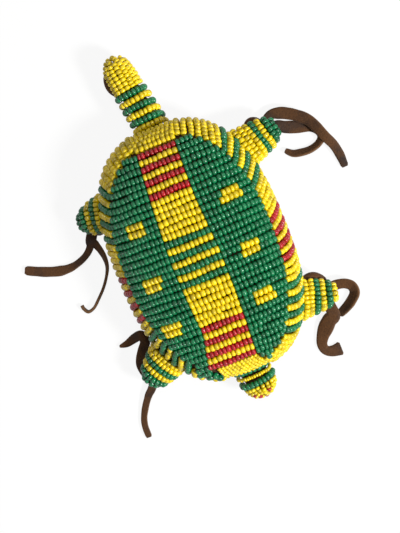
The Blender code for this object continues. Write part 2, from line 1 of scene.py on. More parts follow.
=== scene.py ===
"""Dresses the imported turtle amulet: rows of glass beads, stuffed hide, stitches and slit thongs.

Laid out as a Blender add-on and run as a script. Lengths are in metres, and the turtle lies on its
belly with its head towards +Y.
"""

import math
import random
from typing import NamedTuple

import bmesh
import bpy
import numpy
from bpy.props import FloatProperty, FloatVectorProperty, IntProperty, PointerProperty
from mathutils import Matrix, Vector, noise


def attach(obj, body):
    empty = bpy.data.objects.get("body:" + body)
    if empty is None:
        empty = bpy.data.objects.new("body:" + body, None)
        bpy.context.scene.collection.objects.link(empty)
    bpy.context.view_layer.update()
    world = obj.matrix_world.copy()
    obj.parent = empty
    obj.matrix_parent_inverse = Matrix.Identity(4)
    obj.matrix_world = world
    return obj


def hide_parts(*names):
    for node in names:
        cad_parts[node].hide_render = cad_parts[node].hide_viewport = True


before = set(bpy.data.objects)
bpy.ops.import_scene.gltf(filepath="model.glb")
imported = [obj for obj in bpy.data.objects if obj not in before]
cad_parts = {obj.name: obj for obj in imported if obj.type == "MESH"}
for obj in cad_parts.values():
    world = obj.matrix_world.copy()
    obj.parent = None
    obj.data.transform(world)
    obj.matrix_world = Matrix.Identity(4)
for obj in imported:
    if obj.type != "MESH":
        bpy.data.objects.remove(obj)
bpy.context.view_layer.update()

bl_info = {
    "name": "Beaded turtle amulet",
    "version": (1, 0, 0),
    "blender": (4, 5, 0),
    "location": "View3D > Sidebar > Turtle",
    "description": "Dresses a packed turtle in glass beads, smoked hide and slit thongs",
    "category": "Object",
}

MM = 0.001

# Beadwork, measured up from the hide
BEAD_HEIGHT = 2.2 * MM
SEAT_GAP = 0.3 * MM
ROW_GAP = 0.3 * MM
LIMB_CLEARANCE = 0.6 * MM

# Stuffed shell, as hide without its beads
SHELL_HALF_WIDTH = 26.5 * MM
SHELL_HALF_LENGTH = 41.0 * MM
SHELL_SQUARENESS = 2.6
EQUATOR_HEIGHT = 11.0 * MM
DOME_RISE = 14.8 * MM
BELLY_DROP = 13.0 * MM

# Field of lanes on the back, bounded by the rim's wraps
RIM_SIDE_WIDTH = 3.0 * MM
RIM_END_WIDTH = 3.5 * MM
FIELD_SQUARENESS = 2.4
RIGHT_REAR_TRIM = 0.6 * MM  # how much nearer the middle the right lane ends at the rear
TRIM_RUN = 30.0 * MM
TRIM_MIDWAY = 0.3  # the share of the trim that is there half-way along the back
TRIM_FADE = 1.5  # above 1, the trim fades only where the lane gets narrow
CENTRE_LANE_WIDTH = 14.8 * MM
LANE_END_INSET = 2.0 * MM
CENTRE_ROWS = "RYRYRYR" + "YYYYYY" + "GYGYGYG" + "YYYYYY" + "RYRYRYR"

# Yellow squares on the side lanes, two rows each, counted from the head
SQUARE_WIDTH = 5.9 * MM
SQUARE_FIRST_ROWS = (9, 17, 24)

# Rim wraps over the edge of the shell, as angles from the dome's top
RIM_EDGE_TILT = math.radians(105)
ROOT_EDGE_TILT = math.radians(84)
WRAP_PITCH = 2.3 * MM
WRAP_SLANT = 2.2 * MM
SLANT_RUN_IN = 12.0 * MM
ROOT_WRAPS = "GYGYGYG"
ROOT_SPAN = 18.0 * MM
RED_WRAPS_AHEAD = 5  # yellow wraps on a side's middle stretch before its first red one
RED_WRAP_PATTERN = "RYRYRYR"

# Neck arcs and tail columns, which close the centre lane's two ends
NECK_ARCS = 5
TAIL_COLUMNS = 11
END_PATCH_TILT = math.radians(83)

# Thongs
THONG_THICKNESS = 1.0 * MM
THONG_FLOOR_GAP = 0.15 * MM


class Limb(NamedTuple):
    """A stuffed arm of the hide, with its own sleeve of bead rings."""

    name: str
    place: float  # how far round its side it is: 0 at the head, 1 at the tail, left side negative
    heading: float  # compass direction in degrees from +X towards +Y
    reach: float  # from the shell's edge to the hide's tip
    root_half_width: float
    tip_half_width: float
    half_height: float
    tip_round: float
    tip_height: float
    rings: str
    ring_reach: float  # how far along the hide the rings go
    wrap_from: float  # the sleeve's edges, in degrees round the limb from its top
    wrap_to: float


LIMB_HEIGHT = 8.0 * MM
LIMB_ROOT_INSET = 9.0 * MM
SLEEVE_END = math.radians(68)

TO_THE_FOOT = math.inf

HEAD = Limb(
    "head", 0, 98.7, 25.8 * MM, 4.0 * MM, 3.1 * MM, 3.0 * MM, 4.5 * MM, 7.5 * MM,
    "YGYGYG", 15.2 * MM, -80, 115,
)
TAIL = Limb(
    "tail", 0, 276, 10.6 * MM, 4.7 * MM, 4.0 * MM, 2.8 * MM, 3.6 * MM, 7.0 * MM,
    "GYG", 6.6 * MM, -105, 105,
)
RIGHT_FRONT_LEG = Limb(
    "right_front_leg", 0.272, 12, 13.0 * MM, 5.6 * MM, 3.0 * MM, 2.8 * MM, 4.0 * MM, 5.8 * MM,
    "YYYGYGG", TO_THE_FOOT, -75, 115,
)
RIGHT_REAR_LEG = Limb(
    "right_rear_leg", 0.740, -11, 11.6 * MM, 5.4 * MM, 2.6 * MM, 2.8 * MM, 3.5 * MM, 5.6 * MM,
    "YYGYGY", TO_THE_FOOT, -75, 115,
)
LEFT_FRONT_LEG = Limb(
    "left_front_leg", -0.297, 182, 9.2 * MM, 4.8 * MM, 2.6 * MM, 2.8 * MM, 3.5 * MM, 5.6 * MM,
    "YGYGG", TO_THE_FOOT, -75, 115,
)
LEFT_REAR_LEG = Limb(
    "left_rear_leg", -0.753, 212, 12.2 * MM, 5.6 * MM, 3.0 * MM, 2.8 * MM, 3.5 * MM, 5.6 * MM,
    "YYGYGG", TO_THE_FOOT, -100, 100,
)
LEGS = (RIGHT_FRONT_LEG, RIGHT_REAR_LEG, LEFT_FRONT_LEG, LEFT_REAR_LEG)

HEAD_TIP_ROWS, HEAD_TIP_WIDTH = 8, 0.8
TAIL_TIP_ROWS, TAIL_TIP_WIDTH = 10, 0.64


class Knot(NamedTuple):
    """A place that a strip of thong runs through, in mm from under its foot and degrees."""

    x: float
    y: float
    lift: float  # of its lower edge, over the height at which the thong lies
    width: float
    roll: float  # of the strip about its own run


# Each thong is slit into two strips, which start side by side under the foot and then part. A thong
# has its leg, where its two strips start, and the knots of each.
THONGS = {
    "right_front_thong": (RIGHT_FRONT_LEG, (0.4, 1.5), (0.0, -1.5), (
        (4.5, 4.6, 1.4, 3.2, 0), (7.5, 4.3, 1.5, 3.8, 4), (10.1, 3.1, 1.6, 3.9, 8),
        (12.9, 1.2, 1.9, 3.9, 12), (15.5, -1.3, 2.1, 3.8, 16), (17.2, -4.6, 2.3, 3.5, 18),
        (18.6, -8.3, 2.2, 3.3, 14), (20.1, -11.8, 1.4, 3.2, 8), (20.8, -15.6, 0.4, 3.0, 4),
        (21.0, -19.8, 0.0, 2.5, 0),
    ), (
        (4.8, 0.7, 1.0, 3.6, 0), (7.8, -0.7, 0.6, 4.1, 0), (11.3, -2.1, 0.3, 4.1, 0),
        (14.8, -3.2, 0.1, 3.7, 0), (17.0, -5.2, 0.0, 3.2, 10), (17.5, -7.7, 0.0, 2.8, 30),
        (15.8, -9.5, 0.0, 2.7, 42), (12.7, -10.4, 0.0, 2.9, 48), (9.5, -10.2, 0.0, 2.9, 44),
        (6.9, -9.5, 0.0, 2.5, 36), (4.9, -7.7, 0.1, 1.7, 20),
    )),
    "left_front_thong": (LEFT_FRONT_LEG, (-0.4, -0.6), (0.4, -0.6), (
        (-5.0, -5.8, 1.2, 2.7, 0), (-5.9, -8.3, 0.9, 2.6, 10), (-8.0, -10.3, 0.6, 2.4, 25),
        (-11.0, -11.7, 0.3, 2.4, 28), (-14.7, -12.5, 0.1, 2.8, 20),
        (-18.7, -12.2, 0.0, 3.4, 8), (-22.6, -11.0, 0.0, 3.4, 4), (-26.1, -9.5, 0.0, 3.3, 0),
        (-29.7, -7.7, 0.0, 3.0, 0),
    ), (
        (-4.0, -6.2, 1.2, 2.6, 5), (-3.9, -8.3, 1.0, 2.6, 20), (-3.2, -10.8, 0.8, 2.5, 40),
        (-2.9, -13.8, 0.5, 2.4, 55), (-3.4, -16.9, 0.2, 2.3, 70),
        (-5.2, -20.1, 0.0, 2.2, 84), (-7.5, -23.0, 0.0, 2.1, 86),
        (-10.2, -25.6, 0.0, 2.0, 88), (-12.8, -27.8, 0.0, 1.9, 88),
        (-15.1, -28.4, 0.0, 1.8, 88), (-16.2, -26.9, 0.0, 1.7, 88),
        (-16.4, -25.6, 0.0, 1.5, 88),
    )),
    "right_rear_thong": (RIGHT_REAR_LEG, (0.0, 0.3), (0.3, -0.5), (
        (2.2, -0.2, 1.4, 3.2, 0), (5.3, 0.3, 1.5, 3.4, 6), (8.3, -0.3, 1.4, 3.4, 16),
        (10.2, -1.9, 1.0, 3.8, 30), (10.3, -4.3, 0.5, 4.2, 44), (8.2, -6.5, 0.2, 4.2, 48),
        (5.7, -8.1, 0.1, 3.6, 42), (3.0, -9.4, 0.0, 2.8, 30),
    ), (
        (1.3, -8.5, 0.9, 4.2, 5), (-0.7, -9.9, 0.6, 5.0, 12), (-2.9, -12.0, 0.3, 5.0, 16),
        (-4.8, -14.3, 0.1, 4.2, 12), (-6.0, -16.8, 0.0, 3.5, 6), (-5.6, -19.1, 0.0, 3.2, 0),
        (-3.5, -20.2, 0.0, 3.8, 0), (-0.5, -20.3, 0.0, 5.0, 0),
    )),
    "left_rear_thong": (LEFT_REAR_LEG, (-0.5, -0.5), (-0.3, 0.7), (
        (-5.2, -5.7, 1.0, 2.8, 0), (-7.0, -7.3, 0.7, 2.6, 6), (-8.8, -9.5, 0.4, 2.4, 12),
        (-10.5, -12.0, 0.1, 2.3, 16), (-11.9, -14.7, 0.0, 2.2, 12),
        (-12.6, -17.5, 0.0, 2.2, 6), (-12.7, -21.1, 0.0, 2.2, 0),
    ), (
        (-4.6, -1.5, 0.7, 2.6, 0), (-5.9, 2.2, 0.4, 2.8, 10), (-5.0, 4.8, 0.3, 3.2, 16),
        (-3.0, 7.5, 0.2, 3.5, 20), (-1.2, 10.0, 0.1, 3.5, 22), (-1.8, 12.3, 0.0, 3.4, 22),
        (-4.3, 12.1, 0.0, 3.2, 18), (-7.3, 11.3, 0.0, 2.4, 10), (-10.0, 11.3, 0.0, 1.0, 0),
    )),
}
STEPS_BETWEEN_KNOTS = 8


def between(low, high, share):
    return low + (high - low) * share


def read_off(at, places, values):
    """The value at a place on a curve through some others."""
    return float(numpy.interp(at, places, values))


def clamped(value, low=0, high=1):
    return min(max(value, low), high)


class Ruler:
    """Turns a distance along a curve into the curve's own parameter, and back."""

    def __init__(self, curve, start, end, steps=600):
        self.params = numpy.linspace(start, end, steps + 1)
        points = numpy.array([curve(p) for p in self.params])
        lengths = numpy.linalg.norm(numpy.diff(points, axis=0), axis=1)
        self.marks = numpy.concatenate([[0.0], numpy.cumsum(lengths)])
        self.length = float(self.marks[-1])

    def at(self, distance):
        return read_off(distance, self.marks, self.params)


# The shell's form


def outline(angle):
    """A point on the shell's edge seen from above: angle 0 is the head end, 90 degrees right."""
    s, c = math.sin(angle), math.cos(angle)
    power = 2 / SHELL_SQUARENESS
    x = SHELL_HALF_WIDTH * math.copysign(abs(s) ** power, s)
    y = SHELL_HALF_LENGTH * math.copysign(abs(c) ** power, c)
    return x, y


def shell(angle, tilt):
    """A point on the hide, and one inside it. Tilt 0 is the dome's top and 90 degrees its edge."""
    x, y = outline(angle)
    rise = DOME_RISE if math.cos(tilt) > 0 else BELLY_DROP
    point = Vector((x * math.sin(tilt), y * math.sin(tilt), EQUATOR_HEIGHT + rise * math.cos(tilt)))
    return point, Vector((0, 0, EQUATOR_HEIGHT))


def spread(x, y, half_width, half_length, squareness):
    """How far out a point lies: 1 on the outline with these sizes, 0 in the middle."""
    across = abs(x / half_width) ** squareness
    along = abs(y / half_length) ** squareness
    return (across + along) ** (1 / squareness)


def dome(x, y):
    """The point of the hide's dome above a place in plan, and one inside it."""
    out = min(spread(x, y, SHELL_HALF_WIDTH, SHELL_HALF_LENGTH, SHELL_SQUARENESS), 0.999)
    z = EQUATOR_HEIGHT + DOME_RISE * math.sqrt(1 - out**2)
    return Vector((x, y, z)), Vector((0, 0, EQUATOR_HEIGHT - BELLY_DROP))


def lifted(surface, u, v, height):
    """The point at a height over a surface, measured square to it, and the surface's normal."""
    step = 2e-4
    point, inside = surface(u, v)
    along_u = surface(u + step, v)[0] - surface(u - step, v)[0]
    along_v = surface(u, v + step)[0] - surface(u, v - step)[0]
    normal = along_u.cross(along_v).normalized()
    if normal.dot(point - inside) < 0:
        normal.negate()
    return point + normal * height, normal


FIELD_HALF_WIDTH = SHELL_HALF_WIDTH - RIM_SIDE_WIDTH
FIELD_HALF_LENGTH = SHELL_HALF_LENGTH - RIM_END_WIDTH
LANE_HALF_LENGTH = FIELD_HALF_LENGTH - LANE_END_INSET
EDGE = Ruler(outline, 0, math.pi)
SPINE = Ruler(lambda y: dome(0, y)[0], LANE_HALF_LENGTH, -LANE_HALF_LENGTH)
ROW_MARKS = [SPINE.length * i / len(CENTRE_ROWS) for i in range(len(CENTRE_ROWS) + 1)]


def edge_angle(station):
    """The outline's angle at a distance round the shell, on the side of the distance's sign."""
    return math.copysign(EDGE.at(abs(station)), station)


def field_edge(y, side):
    """How far from the middle a side's lane reaches at a place along the back."""
    share = min(abs(y) / FIELD_HALF_LENGTH, 1)
    edge = FIELD_HALF_WIDTH * (1 - share**FIELD_SQUARENESS) ** (1 / FIELD_SQUARENESS) - ROW_GAP
    if side <= 0:
        return edge
    rearwards = clamped(TRIM_MIDWAY - y / TRIM_RUN)
    return edge - max(RIGHT_REAR_TRIM * rearwards * min(edge / FIELD_HALF_WIDTH * TRIM_FADE, 1), 0)


def first_place(low, high, holds):
    """The first place between two others from which a test holds."""
    for _ in range(30):
        middle = (low + high) / 2
        if holds(middle):
            high = middle
        else:
            low = middle
    return high


def rim_start(angle):
    """The tilt at which the rim's wraps begin, just outside the field of lanes."""
    x, y = outline(angle)
    return math.asin(
        first_place(0.0, 0.99, lambda out: abs(x) * out >= field_edge(y * out, angle) + ROW_GAP)
    )


# Limbs


def limb_axes(limb):
    """Where a limb leaves the shell's edge, the way it points, its side and its top."""
    angle = math.pi if limb is TAIL else edge_angle(limb.place * EDGE.length)
    x, y = outline(angle)
    start = Vector((x, y, LIMB_HEIGHT))
    heading = math.radians(limb.heading)
    east, north = math.cos(heading) * limb.reach, math.sin(heading) * limb.reach
    way = Vector((east, north, limb.tip_height - LIMB_HEIGHT)).normalized()
    side = way.cross(Vector((0, 0, 1))).normalized()
    return start, way, side, side.cross(way)


def limb_surface(limb):
    """The limb's hide as a surface: distance along its skin, and angle round it from the top."""
    start, way, side, top = limb_axes(limb)
    straight = limb.reach - limb.tip_round

    def surface(distance, turn):
        bend = max(0.0, (distance - straight) / limb.tip_round)
        axial = min(distance, straight) + limb.tip_round * math.sin(min(bend, math.pi / 2))
        shrink = math.cos(min(bend, math.pi / 2))
        taper = clamped(axial / limb.reach)
        wide = between(limb.root_half_width, limb.tip_half_width, taper)
        centre = start + way * axial
        rim = side * (wide * math.sin(turn)) + top * (limb.half_height * math.cos(turn))
        return centre + rim * shrink, centre - way * (limb.tip_round * bend)

    return surface


def clears_shell(point):
    """True where a point lies outside the rim's beads."""
    over = BEAD_HEIGHT + LIMB_CLEARANCE
    out = spread(
        point.x, point.y, SHELL_HALF_WIDTH + over, SHELL_HALF_LENGTH + over, SHELL_SQUARENESS
    )
    rise = DOME_RISE if point.z > EQUATOR_HEIGHT else BELLY_DROP
    return out**2 + ((point.z - EQUATOR_HEIGHT) / (rise + over)) ** 2 > 1


def sleeve_start(surface, turn):
    """The distance along a limb at which its beads come clear of the rim's."""

    def clear(distance):
        beads = (lifted(surface, distance, turn, h)[0] for h in (SEAT_GAP, BEAD_HEIGHT))
        return all(clears_shell(point) for point in beads)

    return first_place(0.0, 8 * MM, clear)


# Building


def slant(station, tilt):
    """How far a wrap leans round the shell. On the right its outer end is ahead of its inner."""
    run = min(abs(station) - rim_ends()[0], rim_ends()[1] - abs(station))
    ease = clamped(run / SLANT_RUN_IN)
    share = (tilt - ROOT_EDGE_TILT) / (RIM_EDGE_TILT - ROOT_EDGE_TILT)
    return -WRAP_SLANT * ease * share if station > 0 else 0


def rim_ends():
    """The distances round one side at which the rim begins at the neck and ends at the tail."""
    lane = CENTRE_LANE_WIDTH / 2 + ROW_GAP
    neck = HEAD.root_half_width + BEAD_HEIGHT + LIMB_CLEARANCE
    rump = TAIL.root_half_width + BEAD_HEIGHT + LIMB_CLEARANCE
    return max(lane, neck), EDGE.length - max(lane, rump)


def rim_row(side, edge_tilt, along, lean=0.0, inset=0.0):
    """A wrap's path over the rim. It leans further by a length, and begins later by a share."""

    def place(share):
        start = rim_start(edge_angle(side * along))
        start = rim_start(edge_angle(side * along + slant(side * along, start)))
        tilt = between(start, edge_tilt, between(inset, 1, share))
        round_edge = side * (along - lean * (share - 0.5)) + slant(side * along, tilt)
        return lifted(lambda s, t: shell(edge_angle(s), t), round_edge, tilt, bead_seat())

    return place


def end_patch_tilt(angle, share):
    """A tilt between the centre lane's end, at share 0, and the shell's edge at a limb, at 1."""
    end_of_lane = (LANE_HALF_LENGTH + ROW_GAP) / abs(outline(angle)[1])
    start = math.asin(end_of_lane)
    return between(start, END_PATCH_TILT, share)


def skin_end(limb):
    """How far along a limb's skin its beads go, over the bend of its tip."""
    return limb.reach - limb.tip_round + limb.tip_round * SLEEVE_END


def smooth_knots(knots):
    """More knots between those chosen, on a smooth curve through them."""
    ends = [knots[0], *knots, knots[-1]]
    rows = [numpy.array(knot) for knot in ends]
    fine = []
    for before, start, end, after in zip(rows, rows[1:], rows[2:], rows[3:]):
        for step in range(STEPS_BETWEEN_KNOTS):
            t = step / STEPS_BETWEEN_KNOTS
            bend = (2 * before - 5 * start + 4 * end - after) * t**2
            twist = (3 * start - before - 3 * end + after) * t**3
            fine.append(Knot(*(start + ((end - before) * t + bend + twist) / 2)))
    return fine + [knots[-1]]


# Settings


def linear(hex_colour):
    """Turns a written colour into the linear values that a shader takes."""
    parts = [int(hex_colour[i : i + 2], 16) / 255 for i in (1, 3, 5)]
    return [c / 12.92 if c <= 0.04045 else ((c + 0.055) / 1.055) ** 2.4 for c in parts]


def colour_setting(name, hex_colour, description):
    return FloatVectorProperty(
        name=name, description=description, subtype="COLOR", size=3, min=0, max=1,
        default=linear(hex_colour),
    )


def length_setting(name, default, description):
    return FloatProperty(
        name=name, description=description, default=default, min=0, unit="LENGTH", precision=5
    )


class TurtleBeads(bpy.types.PropertyGroup):
    """Sizes and colours of the glass beads."""

    width: length_setting("Bead width", 2.36 * MM, "Across a bead, square to its thread")
    pitch: length_setting("Bead pitch", 1.52 * MM, "From one bead to the next along a thread")
    yellow: colour_setting("Yellow", "#E0C410", "Opaque yellow glass")
    green: colour_setting("Green", "#086A3E", "Opaque green glass")
    red: colour_setting("Red", "#A2121A", "Opaque red glass")
    seed: IntProperty(name="Seed", description="Which set of small irregularities", default=7)


class TurtleHide(bpy.types.PropertyGroup):
    """The hide of the pouch and thongs."""

    colour: colour_setting("Hide", "#4B2F17", "Smoked hide in plain light")
    shade: colour_setting("Worn hide", "#20120A", "Hide where it is handled and soiled")
    cut: colour_setting("Cut edge", "#65482E", "Raw hide where a thong was slit")
    voxel: length_setting("Skin detail", 0.8 * MM, "Cell size of the skin over the stuffing")


class TurtleView(bpy.types.PropertyGroup):
    """Where the camera and lamps stand."""

    distance: length_setting("Distance", 0.42, "From the turtle's back to the lens")
    width: length_setting("Width", 0.128, "Across the view at the turtle's back")
    turn: FloatProperty(
        name="Turn", description="Turtle's turn in the view", default=math.radians(21.7),
        unit="ROTATION",
    )
    lean_head: FloatProperty(
        name="Lean to head", description="How far the camera stands towards the head",
        default=math.radians(6), unit="ROTATION",
    )
    lean_side: FloatProperty(
        name="Lean to side", description="How far the camera stands towards the right side",
        default=math.radians(7), unit="ROTATION",
    )


def settings():
    scene = bpy.context.scene
    return scene.turtle_beads, scene.turtle_hide, scene.turtle_view


# Materials


def node(material, kind, values=(), **links):
    """Adds a node, sets its properties, and fills its inputs with sockets or plain values."""
    new = material.node_tree.nodes.new(kind)
    for key, value in dict(values).items():
        setattr(new, key, value)
    for key, value in links.items():
        name = key.replace("_", " ")
        socket = new.inputs[int(key[1:]) if key[1:].isdigit() else name]
        if isinstance(value, bpy.types.NodeSocket):
            material.node_tree.links.new(value, socket)
        else:
            socket.default_value = value
    return new


def principled(name):
    """A new material, and its shader."""
    material = bpy.data.materials.new(name)
    material.use_nodes = True
    return material, material.node_tree.nodes["Principled BSDF"]


def join(material, output, shader, name):
    material.node_tree.links.new(output, shader.inputs[name])


def shade_of(colour, factor=1):
    return (*(min(c * factor, 1) for c in colour), 1)


def ramp(material, source, *stops):
    """A ramp of colours, each with its place between 0 and 1."""
    new = node(material, "ShaderNodeValToRGB", _0=source)
    elements = new.color_ramp.elements
    first, *between, last = stops
    for element, (place, colour) in zip(elements, (first, last)):
        element.position, element.color = place, colour
    for place, colour in between:
        elements.new(place).color = colour
    return new.outputs[0]


def scaled(material, colour, factor):
    return node(
        material, "ShaderNodeVectorMath", {"operation": "SCALE"}, _0=colour, Scale=factor
    ).outputs[0]


def varied(material, pattern, least, most):
    """A noise pattern's value, which lies about its middle, spread out between two others."""
    return node(
        material, "ShaderNodeMapRange", _0=pattern.outputs[0], _1=0.3, _2=0.7, _3=least, _4=most
    ).outputs[0]


def roughen(material, shader, height, strength, depth):
    bump = node(material, "ShaderNodeBump", Height=height, Strength=strength, Distance=depth)
    join(material, bump.outputs[0], shader, "Normal")


def glass_bead_material(name, colour):
    """Drawn soda-lime glass, opaque and tumbled: a clean highlight, and each bead its own tone."""
    material, shader = principled(name)
    tone = node(material, "ShaderNodeAttribute", {"attribute_name": "tone"}).outputs["Fac"]
    darkest, lightest = shade_of(colour, 0.62), shade_of(colour, 1.22)
    own = ramp(material, tone, (0, darkest), (TONE_MIDDLE, shade_of(colour)), (1, lightest))
    # Fine cords of colour run through the cane, about 0.25 mm apart
    place = node(material, "ShaderNodeTexCoord").outputs["Object"]
    cords = node(material, "ShaderNodeTexNoise", Vector=place, Scale=1 / (0.5 * MM), Detail=2.0)
    tint = varied(material, cords, 0.9, 1.08)
    join(material, scaled(material, own, tint), shader, "Base Color")
    shader.inputs["Roughness"].default_value = 0.2
    shader.inputs["IOR"].default_value = 1.52
    shader.inputs["Specular IOR Level"].default_value = 0.38
    return material


def hide_material(name, hide, cut_edges=False):
    """Brain-tanned and smoked hide: a soft nap, darker where it is handled, no gloss."""
    material, shader = principled(name)
    place = node(material, "ShaderNodeTexCoord").outputs["Object"]
    stains = node(material, "ShaderNodeTexNoise", Vector=place, Scale=1 / (7 * MM), Detail=5.0)
    nap = node(material, "ShaderNodeTexNoise", Vector=place, Scale=1 / (0.45 * MM), Detail=4.0)
    pores = node(material, "ShaderNodeTexVoronoi", Vector=place, Scale=1 / (0.7 * MM))
    stained = ramp(
        material, stains.outputs[0], (0.3, shade_of(hide.shade)), (0.5, shade_of(hide.colour)),
        (0.75, shade_of(hide.colour, 1.15)),
    )
    colour = scaled(material, stained, varied(material, nap, 0.72, 1.2))
    if cut_edges:
        edge = node(material, "ShaderNodeAttribute", {"attribute_name": "cut"})
        mix = node(
            material, "ShaderNodeMix", {"data_type": "RGBA"}, _0=edge.outputs["Fac"], _6=colour,
            _7=shade_of(hide.cut),
        )
        colour = mix.outputs[2]
    join(material, colour, shader, "Base Color")
    join(material, varied(material, stains, 0.62, 0.88), shader, "Roughness")
    surface = node(
        material, "ShaderNodeMath", {"operation": "ADD"}, _0=nap.outputs[0], _1=pores.outputs[0]
    )
    roughen(material, shader, surface.outputs[0], 0.55, 0.12 * MM)
    shader.inputs["Specular IOR Level"].default_value = 0.2
    shader.inputs["Sheen Weight"].default_value = 0.04
    shader.inputs["Sheen Roughness"].default_value = 0.6
    return material


def sinew_material(name):
    """Split sinew thread: waxy, with fibres along it, a little darker with age."""
    material, shader = principled(name)
    place = node(material, "ShaderNodeTexCoord").outputs["Object"]
    fibres = node(material, "ShaderNodeTexNoise", Vector=place, Scale=1 / (0.3 * MM), Detail=3.0)
    dark, light = shade_of(linear("#6F5836")), shade_of(linear("#B59B6C"))
    join(material, ramp(material, fibres.outputs[0], (0, dark), (1, light)), shader, "Base Color")
    roughen(material, shader, fibres.outputs[0], 0.4, 0.05 * MM)
    shader.inputs["Roughness"].default_value = 0.55
    return material


def kept_material(name, make, *arguments):
    """The material of that name, made at its first use."""
    return bpy.data.materials.get(name) or make(name, *arguments)


GLASS = {
    "Y": ("yellow", "opaque yellow soda-lime glass"),
    "G": ("green", "opaque green soda-lime glass"),
    "R": ("red", "opaque red soda-lime glass"),
}


def glass_material(letter):
    colour_name, name = GLASS[letter]
    return kept_material(name, glass_bead_material, tuple(getattr(settings()[0], colour_name)))


def pouch_hide():
    return kept_material("smoked brain-tanned hide", hide_material, settings()[1])


def sinew():
    return kept_material("split sinew thread", sinew_material)


# Modelling helpers


def deselect_all():
    if bpy.context.object and bpy.context.object.mode != "OBJECT":
        bpy.ops.object.mode_set(mode="OBJECT")
    bpy.ops.object.select_all(action="DESELECT")


def start_edit(piece, kind="FACE"):
    """Opens a piece in edit mode with nothing selected."""
    bpy.context.view_layer.objects.active = piece
    piece.select_set(True)
    bpy.ops.object.mode_set(mode="EDIT")
    bpy.ops.mesh.select_mode(type=kind)
    bpy.ops.mesh.select_all(action="DESELECT")


def select_where(piece, kind, test):
    """Selects the faces or edges of a piece in edit mode that pass a test."""
    shape = bmesh.from_edit_mesh(piece.data)
    for element in getattr(shape, kind):
        element.select_set(bool(test(element)))
    bmesh.update_edit_mesh(piece.data)


def apply_modifier(piece, kind, **values):
    bpy.context.view_layer.objects.active = piece
    modifier = piece.modifiers.new(kind.title(), kind)
    for key, value in values.items():
        setattr(modifier, key, value)
    bpy.ops.object.modifier_apply(modifier=modifier.name)


def finish_piece(piece, name, material, nodes=()):
    """Names a piece, gives it its finish, and ties it to the turtle."""
    piece.name = piece.data.name = name
    piece.data.materials.clear()
    piece.data.materials.append(material)
    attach(piece, "root")
    if nodes:
        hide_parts(*nodes)


def new_object(name, data):
    new = bpy.data.objects.new(name, data)
    bpy.context.scene.collection.objects.link(new)
    return new


def new_mesh(name, coords, faces):
    mesh = bpy.data.meshes.new(name)
    mesh.from_pydata(coords, [], faces)
    return new_object(name, mesh)


def mesh_piece(name, coords, faces, material, nodes=()):
    piece = new_mesh(name, coords, faces)
    piece.data.shade_smooth()
    finish_piece(piece, name, material, nodes)
    return piece


def joined(parts):
    """Several modelled parts as one mesh, the first one's."""
    deselect_all()
    for part in parts:
        part.select_set(True)
    bpy.context.view_layer.objects.active = parts[0]
    bpy.ops.object.join()
    return parts[0]


def take_shape(piece):
    """A modelled piece's points and faces, for copies of it. The piece itself is removed."""
    mesh = piece.data
    coords = numpy.array([vertex.co for vertex in mesh.vertices])
    faces = [list(face.vertices) for face in mesh.polygons]
    bpy.data.objects.remove(piece)
    bpy.data.meshes.remove(mesh)
    return coords, faces


# A bead's length on its thread, glass wall and rounded ends, as shares of its width
BEAD_DEPTH = 0.69
BEAD_WALL = 0.31
BEAD_ROUNDING = 0.235
BEAD_SIDES = 12


def model_bead():
    """One bead: cut from drawn cane, its ends tumbled round. One unit across, hole along Z."""
    deselect_all()
    bpy.ops.mesh.primitive_cylinder_add(vertices=BEAD_SIDES, radius=0.5, depth=BEAD_DEPTH)
    bead = bpy.context.object
    start_edit(bead)
    select_where(bead, "faces", lambda face: abs(face.normal.z) > 0.9)
    bpy.ops.mesh.inset(thickness=BEAD_WALL)
    bpy.ops.mesh.bridge_edge_loops()
    bpy.ops.mesh.select_mode(type="EDGE")
    for end in (1, -1):

        def on_rim(edge, end=end):
            return all(v.co.xy.length > 0.45 and v.co.z * end > 0.3 for v in edge.verts)

        select_where(bead, "edges", on_rim)
        bpy.ops.mesh.bevel(offset=BEAD_ROUNDING, segments=2)
    bpy.ops.mesh.select_all(action="SELECT")
    bpy.ops.mesh.normals_make_consistent(inside=False)
    bpy.ops.object.mode_set(mode="OBJECT")
    return take_shape(bead)


def model_stitch():
    """One whip stitch of sinew: a short cord with its ends drawn in. One unit long, along Z."""
    deselect_all()
    bpy.ops.mesh.primitive_cylinder_add(vertices=6, radius=0.5, depth=1)
    stitch = bpy.context.object
    start_edit(stitch)
    for height in (0.22, -0.22):
        bpy.ops.mesh.select_all(action="SELECT")
        bpy.ops.mesh.bisect(plane_co=(0, 0, height), plane_no=(0, 0, 1))
    bpy.ops.mesh.select_mode(type="FACE")
    for end in (1, -1):
        select_where(stitch, "faces", lambda face, end=end: face.normal.z * end > 0.9)
        bpy.ops.transform.resize(value=(0.4, 0.4, 1))
        bpy.ops.transform.translate(value=(-0.5, 0, 0))
    bpy.ops.object.mode_set(mode="OBJECT")
    return take_shape(stitch)


def copies(shape, frames, sizes):
    """Copies of a shape. A frame is a centre with its X, Y and Z directions."""
    coords, faces = shape
    frames, sizes = numpy.array(frames), numpy.array(sizes)
    local = coords[None, :, :] * sizes[:, None, :]
    placed = frames[:, None, 0, :] + numpy.einsum("nvk,nkj->nvj", local, frames[:, 1:, :])
    count = len(coords)
    many = [[v + i * count for v in face] for i in range(len(frames)) for face in faces]
    return placed.reshape(-1, 3), many


# Rows of beads

